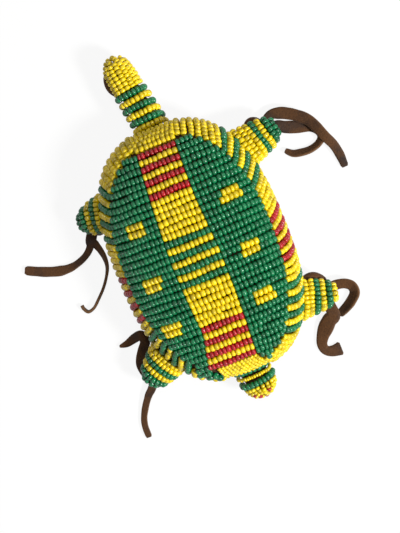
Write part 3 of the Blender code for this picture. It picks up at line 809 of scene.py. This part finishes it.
# How beads differ from each other: most of these are spreads of a chance value
SWAY = (0.04, 0.2)  # how far a row winds to and fro, least and most, in mm
SWAY_WAVES = 6
SPACING_SPREAD, LEAST_SPACING = 0.09, 0.75
OFF_THE_ROW = 0.05 * MM
TURN_SPREAD, TIP_SPREAD = 0.05, 0.04
WIDTH_SPREAD, LEAST_WIDTH, MOST_WIDTH = 0.045, 0.88, 1.07
TONE_MIDDLE, TONE_SPREAD = 0.45, 0.2
BEAD_FILL = 0.95  # the part of its own stretch of thread that a bead takes up
ROW_STEPS = 32
THREAD_RADIUS = 0.22 * MM
THREAD_SIDES = 5


class Strings:
    """The beads of one region, by colour, and the threads that they hang on."""

    def __init__(self, region):
        beads = settings()[0]
        self.region = region
        self.width, self.pitch = beads.width, beads.pitch
        self.chance = random.Random(f"{region} {beads.seed}")
        self.beads = {}
        self.threads = []

    def row(self, place, letter_at, width=1.0, close=1.0):
        """Threads beads along a row, all of one letter or by share.

        place gives a point and its normal for a share of the row. width and close are shares of the
        usual bead width and pitch.
        """
        chance = self.chance
        shares = [i / ROW_STEPS for i in range(ROW_STEPS + 1)]
        points = [place(share)[0] for share in shares]
        marks = [0.0]
        for before, after in zip(points, points[1:]):
            marks.append(marks[-1] + (after - before).length)
        count = max(1, round(marks[-1] / (self.pitch * close)))
        sway, phase = chance.uniform(*SWAY) * MM, chance.uniform(0, math.tau)
        spacing = [max(chance.gauss(1, SPACING_SPREAD), LEAST_SPACING) for _ in range(count)]
        scale = marks[-1] / sum(spacing)
        at, thread = 0.0, []
        for length in spacing:
            length *= scale
            share = read_off(at + length / 2, marks, shares)
            at += length
            point, up = place(share)
            ahead = (place(min(share + 0.01, 1))[0] - place(max(share - 0.01, 0))[0]).normalized()
            across = ahead.cross(up).normalized()
            aside = sway * math.sin(phase + SWAY_WAVES * share) + chance.gauss(0, OFF_THE_ROW)
            point = point + across * aside + up * chance.gauss(0, OFF_THE_ROW)
            turn, tip = chance.gauss(0, TURN_SPREAD), chance.gauss(0, TIP_SPREAD)
            ahead = (ahead + across * turn + up * tip).normalized()
            up = across.cross(ahead).normalized()
            spin = chance.uniform(0, math.tau)
            x = across * math.cos(spin) + up * math.sin(spin)
            wide = clamped(chance.gauss(1, WIDTH_SPREAD), LEAST_WIDTH, MOST_WIDTH)
            wide *= self.width * width
            size = (wide, wide, length * BEAD_FILL / BEAD_DEPTH)
            tone = clamped(chance.gauss(TONE_MIDDLE, TONE_SPREAD))
            letter = letter_at if isinstance(letter_at, str) else letter_at(share)
            bead = (point, x, ahead.cross(x), ahead), size, tone
            self.beads.setdefault(letter, []).append(bead)
            thread.append(point)
        self.threads.append(thread)

    def lay(self, nodes):
        """Makes a piece for each colour and one for the threads. nodes has a colour's CAD nodes."""
        shape = model_bead()
        for letter, beads in self.beads.items():
            coords, faces = copies(shape, [b[0] for b in beads], [b[1] for b in beads])
            colour = GLASS[letter][0]
            name = f"{self.region}_{colour}_beads"
            material = glass_material(letter)
            slot, replaced = f"{colour}_glass", nodes.get(letter, ())
            piece = mesh_piece(name, coords, faces, material, replaced)
            tone = piece.data.attributes.new("tone", "FLOAT", "POINT")
            tone.data.foreach_set("value", numpy.repeat([b[2] for b in beads], len(shape[0])))
        missing = set(nodes) - set(self.beads)
        if missing:
            raise RuntimeError(f"{self.region} has no beads of {missing}")
        coords, faces = [], []
        for thread in self.threads:
            if len(thread) > 1:
                add_tube(coords, faces, thread, THREAD_RADIUS, THREAD_SIDES)
        if faces:
            mesh_piece(f"{self.region}_thread", coords, faces, sinew())


def add_tube(coords, faces, points, radius, sides):
    """Adds a thin closed tube along some points to a list of points and faces."""
    first = len(coords)
    for i, point in enumerate(points):
        ahead = (points[min(i + 1, len(points) - 1)] - points[max(i - 1, 0)]).normalized()
        side = ahead.cross(Vector((0.1, 0.2, 1))).normalized()
        top = side.cross(ahead)
        for k in range(sides):
            a = math.tau * k / sides
            coords.append(tuple(point + (side * math.cos(a) + top * math.sin(a)) * radius))
    close_tube(faces, first, len(points), sides)


def close_tube(faces, first, rings, sides):
    """Adds the faces of a closed tube whose rings of points start at a place in their list."""
    for ring in range(rings - 1):
        for k in range(sides):
            a, b = first + ring * sides + k, first + ring * sides + (k + 1) % sides
            faces.append([a, b, b + sides, a + sides])
    faces.append([first + k for k in reversed(range(sides))])
    faces.append([first + (rings - 1) * sides + k for k in range(sides)])


def bead_seat():
    """How far a bead's middle stands over the hide."""
    return settings()[0].width / 2


def row_middles(count):
    return [(i + 0.5) / count for i in range(count)]


# Where the centre lane ends on its left and right, in mm from the middle, from the tail to the head
LEFT_BORDER = (-11.2, -8.0, -8.2, -8.4, -7.5, -6.4)
RIGHT_BORDER = (4.7, 6.0, 6.6, 6.9, 6.0, 6.1)
BORDER_SHARES = (0, 0.17, 0.3, 0.5, 0.75, 1)
RED_CLOSENESS = 0.92  # the red beads are a thinner make, so a row takes one more of them


def centre_border(y, side):
    """Where the centre lane meets a side's lane: the real lane isn't quite straight."""
    share = (y + LANE_HALF_LENGTH) / (2 * LANE_HALF_LENGTH)
    border = RIGHT_BORDER if side > 0 else LEFT_BORDER
    return read_off(share, BORDER_SHARES, border) * MM


def row_place(row):
    """How far along the back a row of the lanes lies."""
    return SPINE.at((ROW_MARKS[row] + ROW_MARKS[row + 1]) / 2)


def dome_row(start, end, y):
    """A row's path across the dome."""
    return lambda share: lifted(dome, between(start, end, share), y, bead_seat())


def string_centre_lane():
    strings = Strings("centre_lane")
    for row, letter in enumerate(CENTRE_ROWS):
        y = row_place(row)
        place = dome_row(centre_border(y, -1), centre_border(y, 1), y)
        strings.row(place, letter, close=RED_CLOSENESS if letter == "R" else 1.0)
    strings.lay({
        letter: [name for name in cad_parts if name.startswith(f"centre_{colour}_")]
        for letter, (colour, _) in GLASS.items()
    })


# Short rows behind the centre lane's last one: how far back, and from and to how far out, in mm
REAR_ROWS = {
    "right_lane": ((36.3, 5.4, 9.8), (38.0, 6.8, 8.6)),
    "left_lane": ((36.3, 10.9, 15.2), (38.0, 9.7, 12.9), (39.3, 8.7, 10.3)),
}
# How much further out a side's lane reaches, in mm, at these places along the back
REAR_PLACES = (-34.4, -33.0, -25.0)
REAR_REACH = {"right_lane": (1.8, 1.2, 0.0), "left_lane": (3.6, 0.6, 0.0)}
# How far out the three yellow squares sit, in mm, from the head to the tail
SQUARE_OFFSETS = {"right_lane": (15.7, 15.2, 14.0), "left_lane": (15.0, 16.2, 16.4)}
LEAST_LANE_WIDTH = 1.6 * MM


def string_side_lane(name, side):
    strings = Strings(name)
    for row in range(len(CENTRE_ROWS)):
        y = row_place(row)
        inner = side * centre_border(y, side)
        further = read_off(y / MM, REAR_PLACES, REAR_REACH[name]) * MM
        outer = max(field_edge(y, side) + ROW_GAP + further, inner + LEAST_LANE_WIDTH)
        squares = [
            offset for first, offset in zip(SQUARE_FIRST_ROWS, SQUARE_OFFSETS[name])
            if row in (first, first + 1)
        ]

        def letter_at(share, inner=inner, outer=outer, squares=squares):
            x = between(inner, outer, share)
            in_square = any(abs(x - square * MM) < SQUARE_WIDTH / 2 for square in squares)
            return "Y" if in_square else "G"

        strings.row(dome_row(side * inner, side * outer, y), letter_at)
    for back, inner, outer in REAR_ROWS[name]:
        strings.row(dome_row(side * inner * MM, side * outer * MM, -back * MM), "G")
    strings.lay({"G": [name]})


# The rump's beads are smaller, lie lower, and their rows start further left at the seam
RUMP_WIDTH, RUMP_CLOSENESS, RUMP_SEAT = 0.58, 0.84, 0.8
RUMP_SHIFT = 2.6 * MM


def string_shell_ends():
    neck = Strings("neck")
    half = rim_ends()[0] - ROW_GAP
    for share_down in row_middles(NECK_ARCS):

        def place(share, share_down=share_down):
            angle = edge_angle(between(-half, half, share))
            return lifted(shell, angle, end_patch_tilt(angle, share_down), bead_seat())

        neck.row(place, "Y")
    neck.lay({"Y": ["neck_arcs"]})
    rump = Strings("rump")
    half = EDGE.length - rim_ends()[1] - ROW_GAP / 2
    for column in row_middles(TAIL_COLUMNS):

        def place(share, column=column):
            along = between(-half, half, column) - RUMP_SHIFT * (1 - share)
            angle = math.copysign(EDGE.at(EDGE.length - abs(along)), along)
            return lifted(shell, angle, end_patch_tilt(angle, share), bead_seat() * RUMP_SEAT)

        rump.row(place, "Y", width=RUMP_WIDTH, close=RUMP_CLOSENESS)
    rump.lay({"Y": ["tail_columns"]})


# How far the right rim's wraps lean: at the front leg, before and at the rear leg, and at the tail
RIGHT_LEAN = (0.0, 0.6 * MM, 2.4 * MM, 3.6 * MM)
RIGHT_WRAP_WIDTH = 0.86
END_CLOSENESS = 0.92  # wraps are closer together at the head and tail than between the legs
NECK_REACH = 0.7 * MM
ROOT_OVERLAP = math.radians(10)
SLEEVE_WIDTH = 0.93
# How far behind the rear leg's root the last wraps start further out, and how much, first and last
REAR_INSET_RUN = 4 * MM
RIGHT_INSET, LEFT_INSET = (0.1, 0.12), (0.1, 0.5)


def string_rim(side_name, side):
    front, rear = sorted(
        abs(leg.place) * EDGE.length for leg in LEGS if leg.name.startswith(side_name)
    )
    begin, finish = rim_ends()
    half = ROOT_SPAN / 2
    rim = Strings(f"{side_name}_rim")
    stretches = {
        "front": (begin - NECK_REACH, front - half),
        "middle": (front + half, rear - half),
        "rear": (rear + half, finish),
    }
    for stretch, (start, end) in stretches.items():
        pitch = WRAP_PITCH * (1.0 if stretch == "middle" else END_CLOSENESS)
        count = max(2, round((end - start) / pitch))
        for row, share_along in enumerate(row_middles(count)):
            red = row - RED_WRAPS_AHEAD
            inside = stretch == "middle" and 0 <= red < len(RED_WRAP_PATTERN)
            letter = RED_WRAP_PATTERN[red] if inside else "Y"
            along = between(start, end, share_along)
            lean, inset = 0.0, 0.0
            if side > 0:
                lean = read_off(along, (front, rear - 2 * half, rear - half, finish), RIGHT_LEAN)
            if stretch == "rear":
                insets = RIGHT_INSET if side > 0 else LEFT_INSET
                inset = read_off(along, (start, start + REAR_INSET_RUN), insets)
            place = rim_row(side, RIM_EDGE_TILT, along, lean, inset)
            rim.row(place, letter, width=RIGHT_WRAP_WIDTH if side > 0 else 1.0)
    rim.lay({"Y": [f"{side_name}_{stretch}_rim" for stretch in stretches]})
    for end_name, middle in (("front", front), ("rear", rear)):
        roots = Strings(f"{side_name}_{end_name}_leg_root")
        for row, share_along in enumerate(row_middles(len(ROOT_WRAPS))):
            along = middle - half + ROOT_SPAN * share_along
            lean = RIGHT_LEAN[2] if side > 0 and end_name == "rear" else 0.0
            place = rim_row(side, ROOT_EDGE_TILT + ROOT_OVERLAP, along, lean)
            roots.row(place, ROOT_WRAPS[row], width=SLEEVE_WIDTH)
        roots.lay({"G": [f"{side_name}_{end_name}_leg_root_wraps"]})


THIN_RING_WIDTH = 0.55  # the tail's one yellow ring is a thin one of odd small beads
# Bare hide between the rim and a limb's first ring
LEG_GAP, HEAD_GAP, TAIL_GAP = 1.3 * MM, 1.5 * MM, 2.8 * MM


def wrapped_turns(limb):
    return math.radians(limb.wrap_from), math.radians(limb.wrap_to)


def string_sleeve(strings, limb, first_gap):
    """Rings of beads round a limb, from the crease at the rim outwards."""
    surface = limb_surface(limb)
    low, high = wrapped_turns(limb)
    turns = numpy.linspace(low, high, 13)
    starts = [sleeve_start(surface, turn) - first_gap for turn in turns]
    end = min(skin_end(limb), limb.ring_reach)
    for ring, letter in zip(row_middles(len(limb.rings)), limb.rings):

        def place(share, ring=ring):
            turn = between(low, high, share)
            start = read_off(turn, turns, starts)
            return lifted(surface, between(start, end, ring), turn, bead_seat())

        width = THIN_RING_WIDTH if limb is TAIL and letter == "Y" else SLEEVE_WIDTH
        strings.row(place, letter, width=width, close=width)


# How far past the end of the hide a tip's rows run, by turns, as an angle round it
TIP_ROW_ENDS = (16, -26, -8, -26)
TIP_GAP = 0.1 * MM
LOW_SEAT = 0.3  # narrow beads sit lower: the seat of one without width, as a share of the usual


def string_tip(strings, limb, rows, letter_at, width):
    """Rows along a limb's tip. Some end early, where the tip gets too thin for all of them."""
    surface = limb_surface(limb)
    low, high = wrapped_turns(limb)
    start = limb.ring_reach + TIP_GAP
    for index, turn_share in enumerate(row_middles(rows)):
        past_end = math.radians(TIP_ROW_ENDS[index % len(TIP_ROW_ENDS)])
        reach = skin_end(limb) + limb.tip_round * past_end

        def place(share, turn_share=turn_share, reach=reach):
            turn = between(low, high, turn_share)
            seat = bead_seat() * between(LOW_SEAT, 1, width)
            return lifted(surface, between(start, reach, share), turn, seat)

        strings.row(
            place, lambda share, turn_share=turn_share: letter_at(turn_share, share), width=width,
            close=0.5 + width / 2,
        )


# The stuffed pouch

# Where hide shows beside a limb's beads: from and to along the limb, half its thickness and how far
# it stands out, in mm
HIDE_EDGES = {
    "head": (14.5, 24.5, 1.1, 3.0),
    "right_front_leg": (4.5, 11.0, 1.3, 2.8),
    "right_rear_leg": (1.0, 10.5, 1.5, 3.6),
    "left_front_leg": (2.5, 8.0, 1.2, 2.5),
}
HIDE_EDGE_TURN = math.radians(-92)
HIDE_EDGE_ROOT = 0.6 * MM


def roll_hide_edge(limb):
    """The rolled edge of the hide along a limb, where its rings of beads end."""
    begin, end, half_thick, reach = (size * MM for size in HIDE_EDGES[limb.name])
    surface, way = limb_surface(limb), limb_axes(limb)[1]
    coords, faces, rings, sides = [], [], 15, 12
    for ring in range(rings):
        share = ring / (rings - 1)
        size = max(math.sin(math.pi * share), 0.05) ** 0.5
        distance = between(begin, end, share)
        root, out = lifted(surface, distance, HIDE_EDGE_TURN, -HIDE_EDGE_ROOT)
        across = way.cross(out).normalized() * half_thick * size
        half_tall = out * (reach + HIDE_EDGE_ROOT) * size / 2
        for k in range(sides):
            a = math.tau * k / sides
            coords.append(tuple(root + half_tall * (1 + math.sin(a)) + across * math.cos(a)))
    close_tube(faces, 0, rings, sides)
    mesh_piece(f"{limb.name}_hide_edge", coords, faces, pouch_hide())


def stuff_shell():
    """The pouch's body, as a ball pressed flat where it lies on its belly."""
    deselect_all()
    bpy.ops.mesh.primitive_uv_sphere_add(segments=72, ring_count=36, radius=1)
    pouch = bpy.context.object
    for vertex in pouch.data.vertices:
        x, y, z = vertex.co
        point = shell(math.atan2(x, y), math.acos(clamped(z, -1)))[0]
        vertex.co = (point.x, point.y, max(point.z, 0))
    return pouch


def stuff_limb(limb):
    """A limb of the pouch, which starts deep inside the body."""
    deselect_all()
    bpy.ops.mesh.primitive_uv_sphere_add(segments=28, ring_count=18, radius=1)
    arm = bpy.context.object
    surface = limb_surface(limb)
    end = limb.reach + limb.tip_round * (math.pi / 2 - 1)
    for vertex in arm.data.vertices:
        x, y, z = vertex.co
        share = math.acos(clamped(z, -1)) / math.pi
        distance = end - (end + LIMB_ROOT_INSET) * share
        vertex.co = surface(distance, math.atan2(x, y))[0]
    return arm


SEAM_TILT = math.radians(117)
SEAM_HALF_HEIGHT = 0.8 * MM
SEAM_DEPTH, PUCKER_DEPTH = 0.45 * MM, 0.15 * MM
PUCKERS = 110
SKIN_LIFT = 0.12 * MM
WRINKLES = ((0.22 * MM, 5 * MM), (0.1 * MM, 1.7 * MM))  # height and scale of the hide's unevenness
STITCH_PITCH, STITCH_LENGTH, STITCH_THICKNESS = 2.6 * MM, 2.3 * MM, 0.5 * MM
FIRST_STITCH = 2.4 * MM
STITCH_FREE_LEG, STITCH_FREE_END = 5.5 * MM, 6.5 * MM  # beside a leg, and the head or tail


def seam_height():
    return EQUATOR_HEIGHT + BELLY_DROP * math.cos(SEAM_TILT)


def sew_pouch(hide):
    """One skin over body and limbs, drawn in along its seam and a little wrinkled."""
    pouch = joined([stuff_shell(), *(stuff_limb(limb) for limb in (HEAD, TAIL, *LEGS))])
    apply_modifier(pouch, "REMESH", mode="VOXEL", voxel_size=hide.voxel)
    apply_modifier(pouch, "SMOOTH", factor=0.5, iterations=6)
    seam = seam_height()
    moved = []
    for vertex in pouch.data.vertices:
        point, normal = vertex.co.copy(), vertex.normal.copy()
        out = spread(point.x, point.y, SHELL_HALF_WIDTH, SHELL_HALF_LENGTH, SHELL_SQUARENESS)
        offset = SKIN_LIFT + sum(height * noise.noise(point / scale) for height, scale in WRINKLES)
        if out < 1.02:
            # Stitches draw the two hides together, with a pucker at each
            near = math.exp(-(((point.z - seam) / SEAM_HALF_HEIGHT) ** 2))
            angle = math.atan2(point.x, point.y)
            offset -= near * (SEAM_DEPTH + PUCKER_DEPTH * math.sin(angle * PUCKERS))
        moved.append(point + normal * offset)
    for vertex, point in zip(pouch.data.vertices, moved):
        point.z = 0 if point.z < 0.3 * MM else point.z
        vertex.co = point
    pouch.data.shade_smooth()
    finish_piece(pouch, "hide_pouch", pouch_hide(), ["stuffed_hide_body"])


def sew_seam():
    """Whip stitches of sinew round the pouch, where the back is sewn to the belly."""
    frames, sizes = [], []
    chance = random.Random("seam")
    station = FIRST_STITCH
    limbs = [(abs(limb.place) * EDGE.length, math.copysign(1, limb.place)) for limb in LEGS]
    while station < EDGE.length - FIRST_STITCH:
        for side in (1, -1):
            beside_leg = any(s == side and abs(station - at) < STITCH_FREE_LEG for at, s in limbs)
            beside_end = min(station, EDGE.length - station) < STITCH_FREE_END
            if beside_leg or beside_end:
                continue
            angle = edge_angle(side * (station + chance.gauss(0, 0.15 * MM)))
            point, out = lifted(shell, angle, SEAM_TILT, -0.1 * MM)
            above, below = (shell(angle, SEAM_TILT + step)[0] for step in (-0.02, 0.02))
            down = (below - above).normalized()
            round_edge = down.cross(out).normalized()
            run = (down + round_edge * (0.45 + chance.gauss(0, 0.1))).normalized()
            frames.append((point, out, run.cross(out), run))
            thick = STITCH_THICKNESS * chance.uniform(0.85, 1.1)
            sizes.append((thick, thick, STITCH_LENGTH * chance.uniform(0.9, 1.1)))
        station += STITCH_PITCH
    coords, faces = copies(model_stitch(), frames, sizes)
    mesh_piece("seam_stitches", coords, faces, sinew())


# Thongs

# A strip's section: how far across and how far through each corner of it lies
STRIP_SECTION = (
    (0.5, 0.12), (0.46, 0.42), (0.3, 0.5), (0, 0.47),
    (-0.3, 0.5), (-0.46, 0.42), (-0.5, 0.12), (-0.5, -0.12), (-0.46, -0.42), (-0.3, -0.5),
    (0, -0.47), (0.3, -0.5), (0.46, -0.42), (0.5, -0.12),
)
CUT_CORNERS = (0, 6, 7, 13)
END_TAPER = 0.75


def cut_strip(name, knots, under, foot_height):
    """One strip of a thong: slit by hand, so its width and edges vary a little."""
    knots = smooth_knots(knots)
    centres = []
    for i, knot in enumerate(knots):
        roll = math.radians(abs(knot.roll))
        half_tall = knot.width * MM / 2 * math.sin(roll) + THONG_THICKNESS / 2 * math.cos(roll)
        height = THONG_FLOOR_GAP + half_tall + max(knot.lift, 0) * MM
        height = between(height, foot_height, clamped(1 - i / STEPS_BETWEEN_KNOTS))
        centres.append(Vector((under.x + knot.x * MM, under.y + knot.y * MM, height)))
    coords, faces, cut = [], [], []
    for i, (centre, knot) in enumerate(zip(centres, knots)):
        run = (centres[min(i + 1, len(centres) - 1)] - centres[max(i - 1, 0)]).normalized()
        flat = Vector((0, 0, 1)).cross(run).normalized()
        roll = math.radians(knot.roll)
        left = len(knots) - 1 - i
        narrow = {0: END_TAPER, 1: (1 + END_TAPER) / 2}.get(left, 1)
        uneven = 1 + 0.06 * noise.noise(centre / (2.5 * MM))
        across = flat * math.cos(roll) + run.cross(flat) * math.sin(roll)
        across *= knot.width * MM * narrow
        thick = across.cross(run).normalized() * THONG_THICKNESS
        for k, (side, through) in enumerate(STRIP_SECTION):
            coords.append(centre + across * side * uneven + thick * through)
            cut.append(1.0 if k in CUT_CORNERS else 0.0)
    close_tube(faces, 0, len(knots), len(STRIP_SECTION))
    strip = new_mesh(name, coords, faces)
    strip.data.attributes.new("cut", "FLOAT", "POINT").data.foreach_set("value", cut)
    deselect_all()
    start_edit(strip)
    bpy.ops.mesh.select_all(action="SELECT")
    bpy.ops.mesh.normals_make_consistent(inside=False)
    bpy.ops.object.mode_set(mode="OBJECT")
    return strip


def cut_thong(name, leg, start_a, start_b, knots_a, knots_b, hide):
    """A thong under its foot, slit into two strips."""
    under = limb_surface(leg)(leg.reach - leg.tip_round, math.pi)[0]
    foot_height = under.z - SEAT_GAP - THONG_THICKNESS / 2
    strips = []
    for start, knots, suffix in ((start_a, knots_a, "first"), (start_b, knots_b, "second")):
        knots = [Knot(*knot) for knot in knots]
        first = Knot(*start, knots[0].lift, knots[0].width, 0)
        strips.append(cut_strip(f"{name}_{suffix}", (first, *knots), under, foot_height))
    thong = joined(strips)
    bpy.ops.object.shade_smooth_by_angle(angle=math.radians(60))
    material = kept_material("slit hide thong", hide_material, hide, True)
    finish_piece(thong, name + "_strips", material, [name])


# Camera, floor and light


def view_axes(view):
    """The directions of the picture's right and up sides, and the way back to the lens."""
    right = Vector((math.cos(view.turn), -math.sin(view.turn), 0))
    back = Vector((math.tan(view.lean_side), math.tan(view.lean_head), 1)).normalized()
    right = (right - back * right.dot(back)).normalized()
    return right, back.cross(right), back


VIEW_TARGET = Vector((-2.1, -4.3, 14.0)) * MM
SOFTBOX_DISTANCE = 0.8


def set_camera(view):
    right, up, back = view_axes(view)
    camera = new_object("camera", bpy.data.cameras.new("camera"))
    matrix = Matrix((right, up, back)).transposed().to_4x4()
    matrix.translation = VIEW_TARGET + back * view.distance
    camera.matrix_world = matrix
    camera.data.sensor_fit = "HORIZONTAL"
    camera.data.angle = 2 * math.atan(view.width / 2 / view.distance)
    camera.data.clip_start = 0.01
    bpy.context.scene.camera = camera


def add_softbox(name, toward, size, energy):
    lamp = bpy.data.lights.new(name, "AREA")
    lamp.shape, lamp.size, lamp.energy = "SQUARE", size, energy
    holder = new_object(name, lamp)
    toward = toward.normalized()
    turned = toward.to_track_quat("Z", "Y").to_matrix().to_4x4()
    holder.matrix_world = Matrix.Translation(toward * SOFTBOX_DISTANCE) @ turned


def whiten(owner, plain, white_kind, shown, output_name):
    """Shows white in place of a floor or world, by a share, to the camera and in the glass."""
    seen = node(owner, "ShaderNodeLightPath").outputs
    rays = seen["Is Camera Ray"]
    maximum = {"operation": "MAXIMUM"}
    for other in ("Is Transmission Ray", "Is Glossy Ray"):
        rays = node(owner, "ShaderNodeMath", maximum, _0=rays, _1=seen[other]).outputs[0]
    rays = node(owner, "ShaderNodeMath", {"operation": "MULTIPLY"}, _0=rays, _1=shown).outputs[0]
    white = node(owner, white_kind, Color=(1, 1, 1, 1)).outputs[0]
    mix = node(owner, "ShaderNodeMixShader", _0=rays, _1=plain.outputs[0], _2=white)
    owner.node_tree.links.new(mix.outputs[0], owner.node_tree.nodes[output_name].inputs[0])


def light_stage(view):
    right, up, back = view_axes(view)
    add_softbox("key_softbox", right * 0.9 - up * 0.45 + back * 0.95, size=0.14, energy=9.0)
    add_softbox("top_softbox", -right * 0.1 + up * 0.3 + back * 1.0, size=0.13, energy=1.6)
    world = bpy.data.worlds.new("studio")
    bpy.context.scene.world = world
    world.use_nodes = True
    plain = world.node_tree.nodes["Background"]
    plain.inputs[0].default_value = (*linear("#F3F2F0"), 1)
    plain.inputs[1].default_value = 0.1
    whiten(world, plain, "ShaderNodeBackground", 1.0, "World Output")


def lay_floor():
    deselect_all()
    bpy.ops.mesh.primitive_plane_add(size=3)
    floor = bpy.context.object
    floor.name = floor.data.name = "floor"
    material, shader = principled("white paper floor")
    shader.inputs["Base Color"].default_value = (*linear("#F6F5F3"), 1)
    shader.inputs["Roughness"].default_value = 0.9
    whiten(material, shader, "ShaderNodeEmission", 0.9, "Material Output")
    floor.data.materials.append(material)


# Operators and panel


class TURTLE_OT_stage(bpy.types.Operator):
    """Sets the camera, the floor and soft light round the turtle"""

    bl_idname = "turtle.stage"
    bl_label = "Stage"

    def execute(self, context):
        view = context.scene.turtle_view
        set_camera(view)
        light_stage(view)
        lay_floor()
        context.scene.view_settings.view_transform = "Standard"
        return {"FINISHED"}


class TURTLE_OT_pouch(bpy.types.Operator):
    """Makes the stuffed hide pouch with its stitched seam"""

    bl_idname = "turtle.pouch"
    bl_label = "Stuffed pouch"

    def execute(self, context):
        hide = context.scene.turtle_hide
        sew_pouch(hide)
        for limb in (HEAD, *LEGS):
            if limb.name in HIDE_EDGES:
                roll_hide_edge(limb)
        sew_seam()
        return {"FINISHED"}


class TURTLE_OT_centre_lane(bpy.types.Operator):
    """Strings the rows down the middle of the shell"""

    bl_idname = "turtle.centre_lane"
    bl_label = "Centre lane"

    def execute(self, context):
        string_centre_lane()
        return {"FINISHED"}


class TURTLE_OT_side_lanes(bpy.types.Operator):
    """Strings the two green lanes with their yellow squares"""

    bl_idname = "turtle.side_lanes"
    bl_label = "Side lanes"

    def execute(self, context):
        string_side_lane("right_lane", 1)
        string_side_lane("left_lane", -1)
        return {"FINISHED"}


class TURTLE_OT_shell_ends(bpy.types.Operator):
    """Strings the arcs at the neck and the columns at the rump"""

    bl_idname = "turtle.shell_ends"
    bl_label = "Shell ends"

    def execute(self, context):
        string_shell_ends()
        return {"FINISHED"}


class TURTLE_OT_rim(bpy.types.Operator):
    """Strings the wraps over the shell's edge and at the leg roots"""

    bl_idname = "turtle.rim"
    bl_label = "Rim"

    def execute(self, context):
        string_rim("right", 1)
        string_rim("left", -1)
        return {"FINISHED"}


class TURTLE_OT_legs(bpy.types.Operator):
    """Strings the rings round the four legs"""

    bl_idname = "turtle.legs"
    bl_label = "Leg sleeves"

    def execute(self, context):
        for leg in LEGS:
            strings = Strings(leg.name)
            string_sleeve(strings, leg, LEG_GAP)
            strings.lay({"Y": [f"{leg.name}_sleeve"]})
        return {"FINISHED"}


class TURTLE_OT_head(bpy.types.Operator):
    """Strings the rings and the yellow tip of the head"""

    bl_idname = "turtle.head"
    bl_label = "Head"

    def execute(self, context):
        rings = Strings("head_rings")
        string_sleeve(rings, HEAD, HEAD_GAP)
        rings.lay({"Y": ["head_rings"]})
        tip = Strings("head_tip")
        string_tip(tip, HEAD, HEAD_TIP_ROWS, lambda turn, share: "Y", HEAD_TIP_WIDTH)
        tip.lay({"Y": ["head_tip"]})
        return {"FINISHED"}


# The tail tip's two red spots, as shares of the way round it, and where they start along it
TAIL_SPOTS = ((0.3, 0.46), (0.6, 0.76))
SPOT_START = 0.72


class TURTLE_OT_tail(bpy.types.Operator):
    """Strings the green band and the yellow tip of the tail, with its red spots"""

    bl_idname = "turtle.tail"
    bl_label = "Tail"

    def execute(self, context):
        band = Strings("tail_band")
        string_sleeve(band, TAIL, TAIL_GAP)
        band.lay({"G": ["tail_band"]})
        tip = Strings("tail_tip")

        def letter_at(turn, share):
            spotted = share > SPOT_START and any(low < turn < high for low, high in TAIL_SPOTS)
            return "R" if spotted else "Y"

        string_tip(tip, TAIL, TAIL_TIP_ROWS, letter_at, TAIL_TIP_WIDTH)
        tip.lay({"Y": ["tail_tip"]})
        return {"FINISHED"}


class TURTLE_OT_thongs(bpy.types.Operator):
    """Cuts the four thongs, each slit in two"""

    bl_idname = "turtle.thongs"
    bl_label = "Thongs"

    def execute(self, context):
        for name, thong in THONGS.items():
            cut_thong(name, *thong, context.scene.turtle_hide)
        return {"FINISHED"}


OPERATORS = (
    TURTLE_OT_stage,
    TURTLE_OT_pouch,
    TURTLE_OT_centre_lane,
    TURTLE_OT_side_lanes,
    TURTLE_OT_shell_ends,
    TURTLE_OT_rim,
    TURTLE_OT_legs,
    TURTLE_OT_head,
    TURTLE_OT_tail,
    TURTLE_OT_thongs,
)


class TURTLE_PT_panel(bpy.types.Panel):
    """The turtle's settings and steps."""

    bl_idname = "TURTLE_PT_panel"
    bl_label = "Beaded turtle"
    bl_space_type = "VIEW_3D"
    bl_region_type = "UI"
    bl_category = "Turtle"

    def draw(self, context):
        layout = self.layout
        for group in settings():
            column = layout.column(align=True)
            for key in group.__annotations__:
                column.prop(group, key)
        for operator in OPERATORS:
            layout.operator(operator.bl_idname)


GROUPS = {"turtle_beads": TurtleBeads, "turtle_hide": TurtleHide, "turtle_view": TurtleView}


def register():
    for group_name, group in GROUPS.items():
        bpy.utils.register_class(group)
        setattr(bpy.types.Scene, group_name, PointerProperty(type=group))
    for cls in (*OPERATORS, TURTLE_PT_panel):
        bpy.utils.register_class(cls)


def unregister():
    for cls in reversed((*OPERATORS, TURTLE_PT_panel)):
        bpy.utils.unregister_class(cls)
    for group_name, group in GROUPS.items():
        delattr(bpy.types.Scene, group_name)
        bpy.utils.unregister_class(group)


def plain(box):
    return [[float(value) for value in corner] for corner in box]


def main():
    register()
    for step in (
        "stage", "pouch", "centre_lane", "side_lanes", "shell_ends", "rim", "legs", "head", "tail",
        "thongs",
    ):
        getattr(bpy.ops.turtle, step)()


if __name__ == "__main__":
    main()
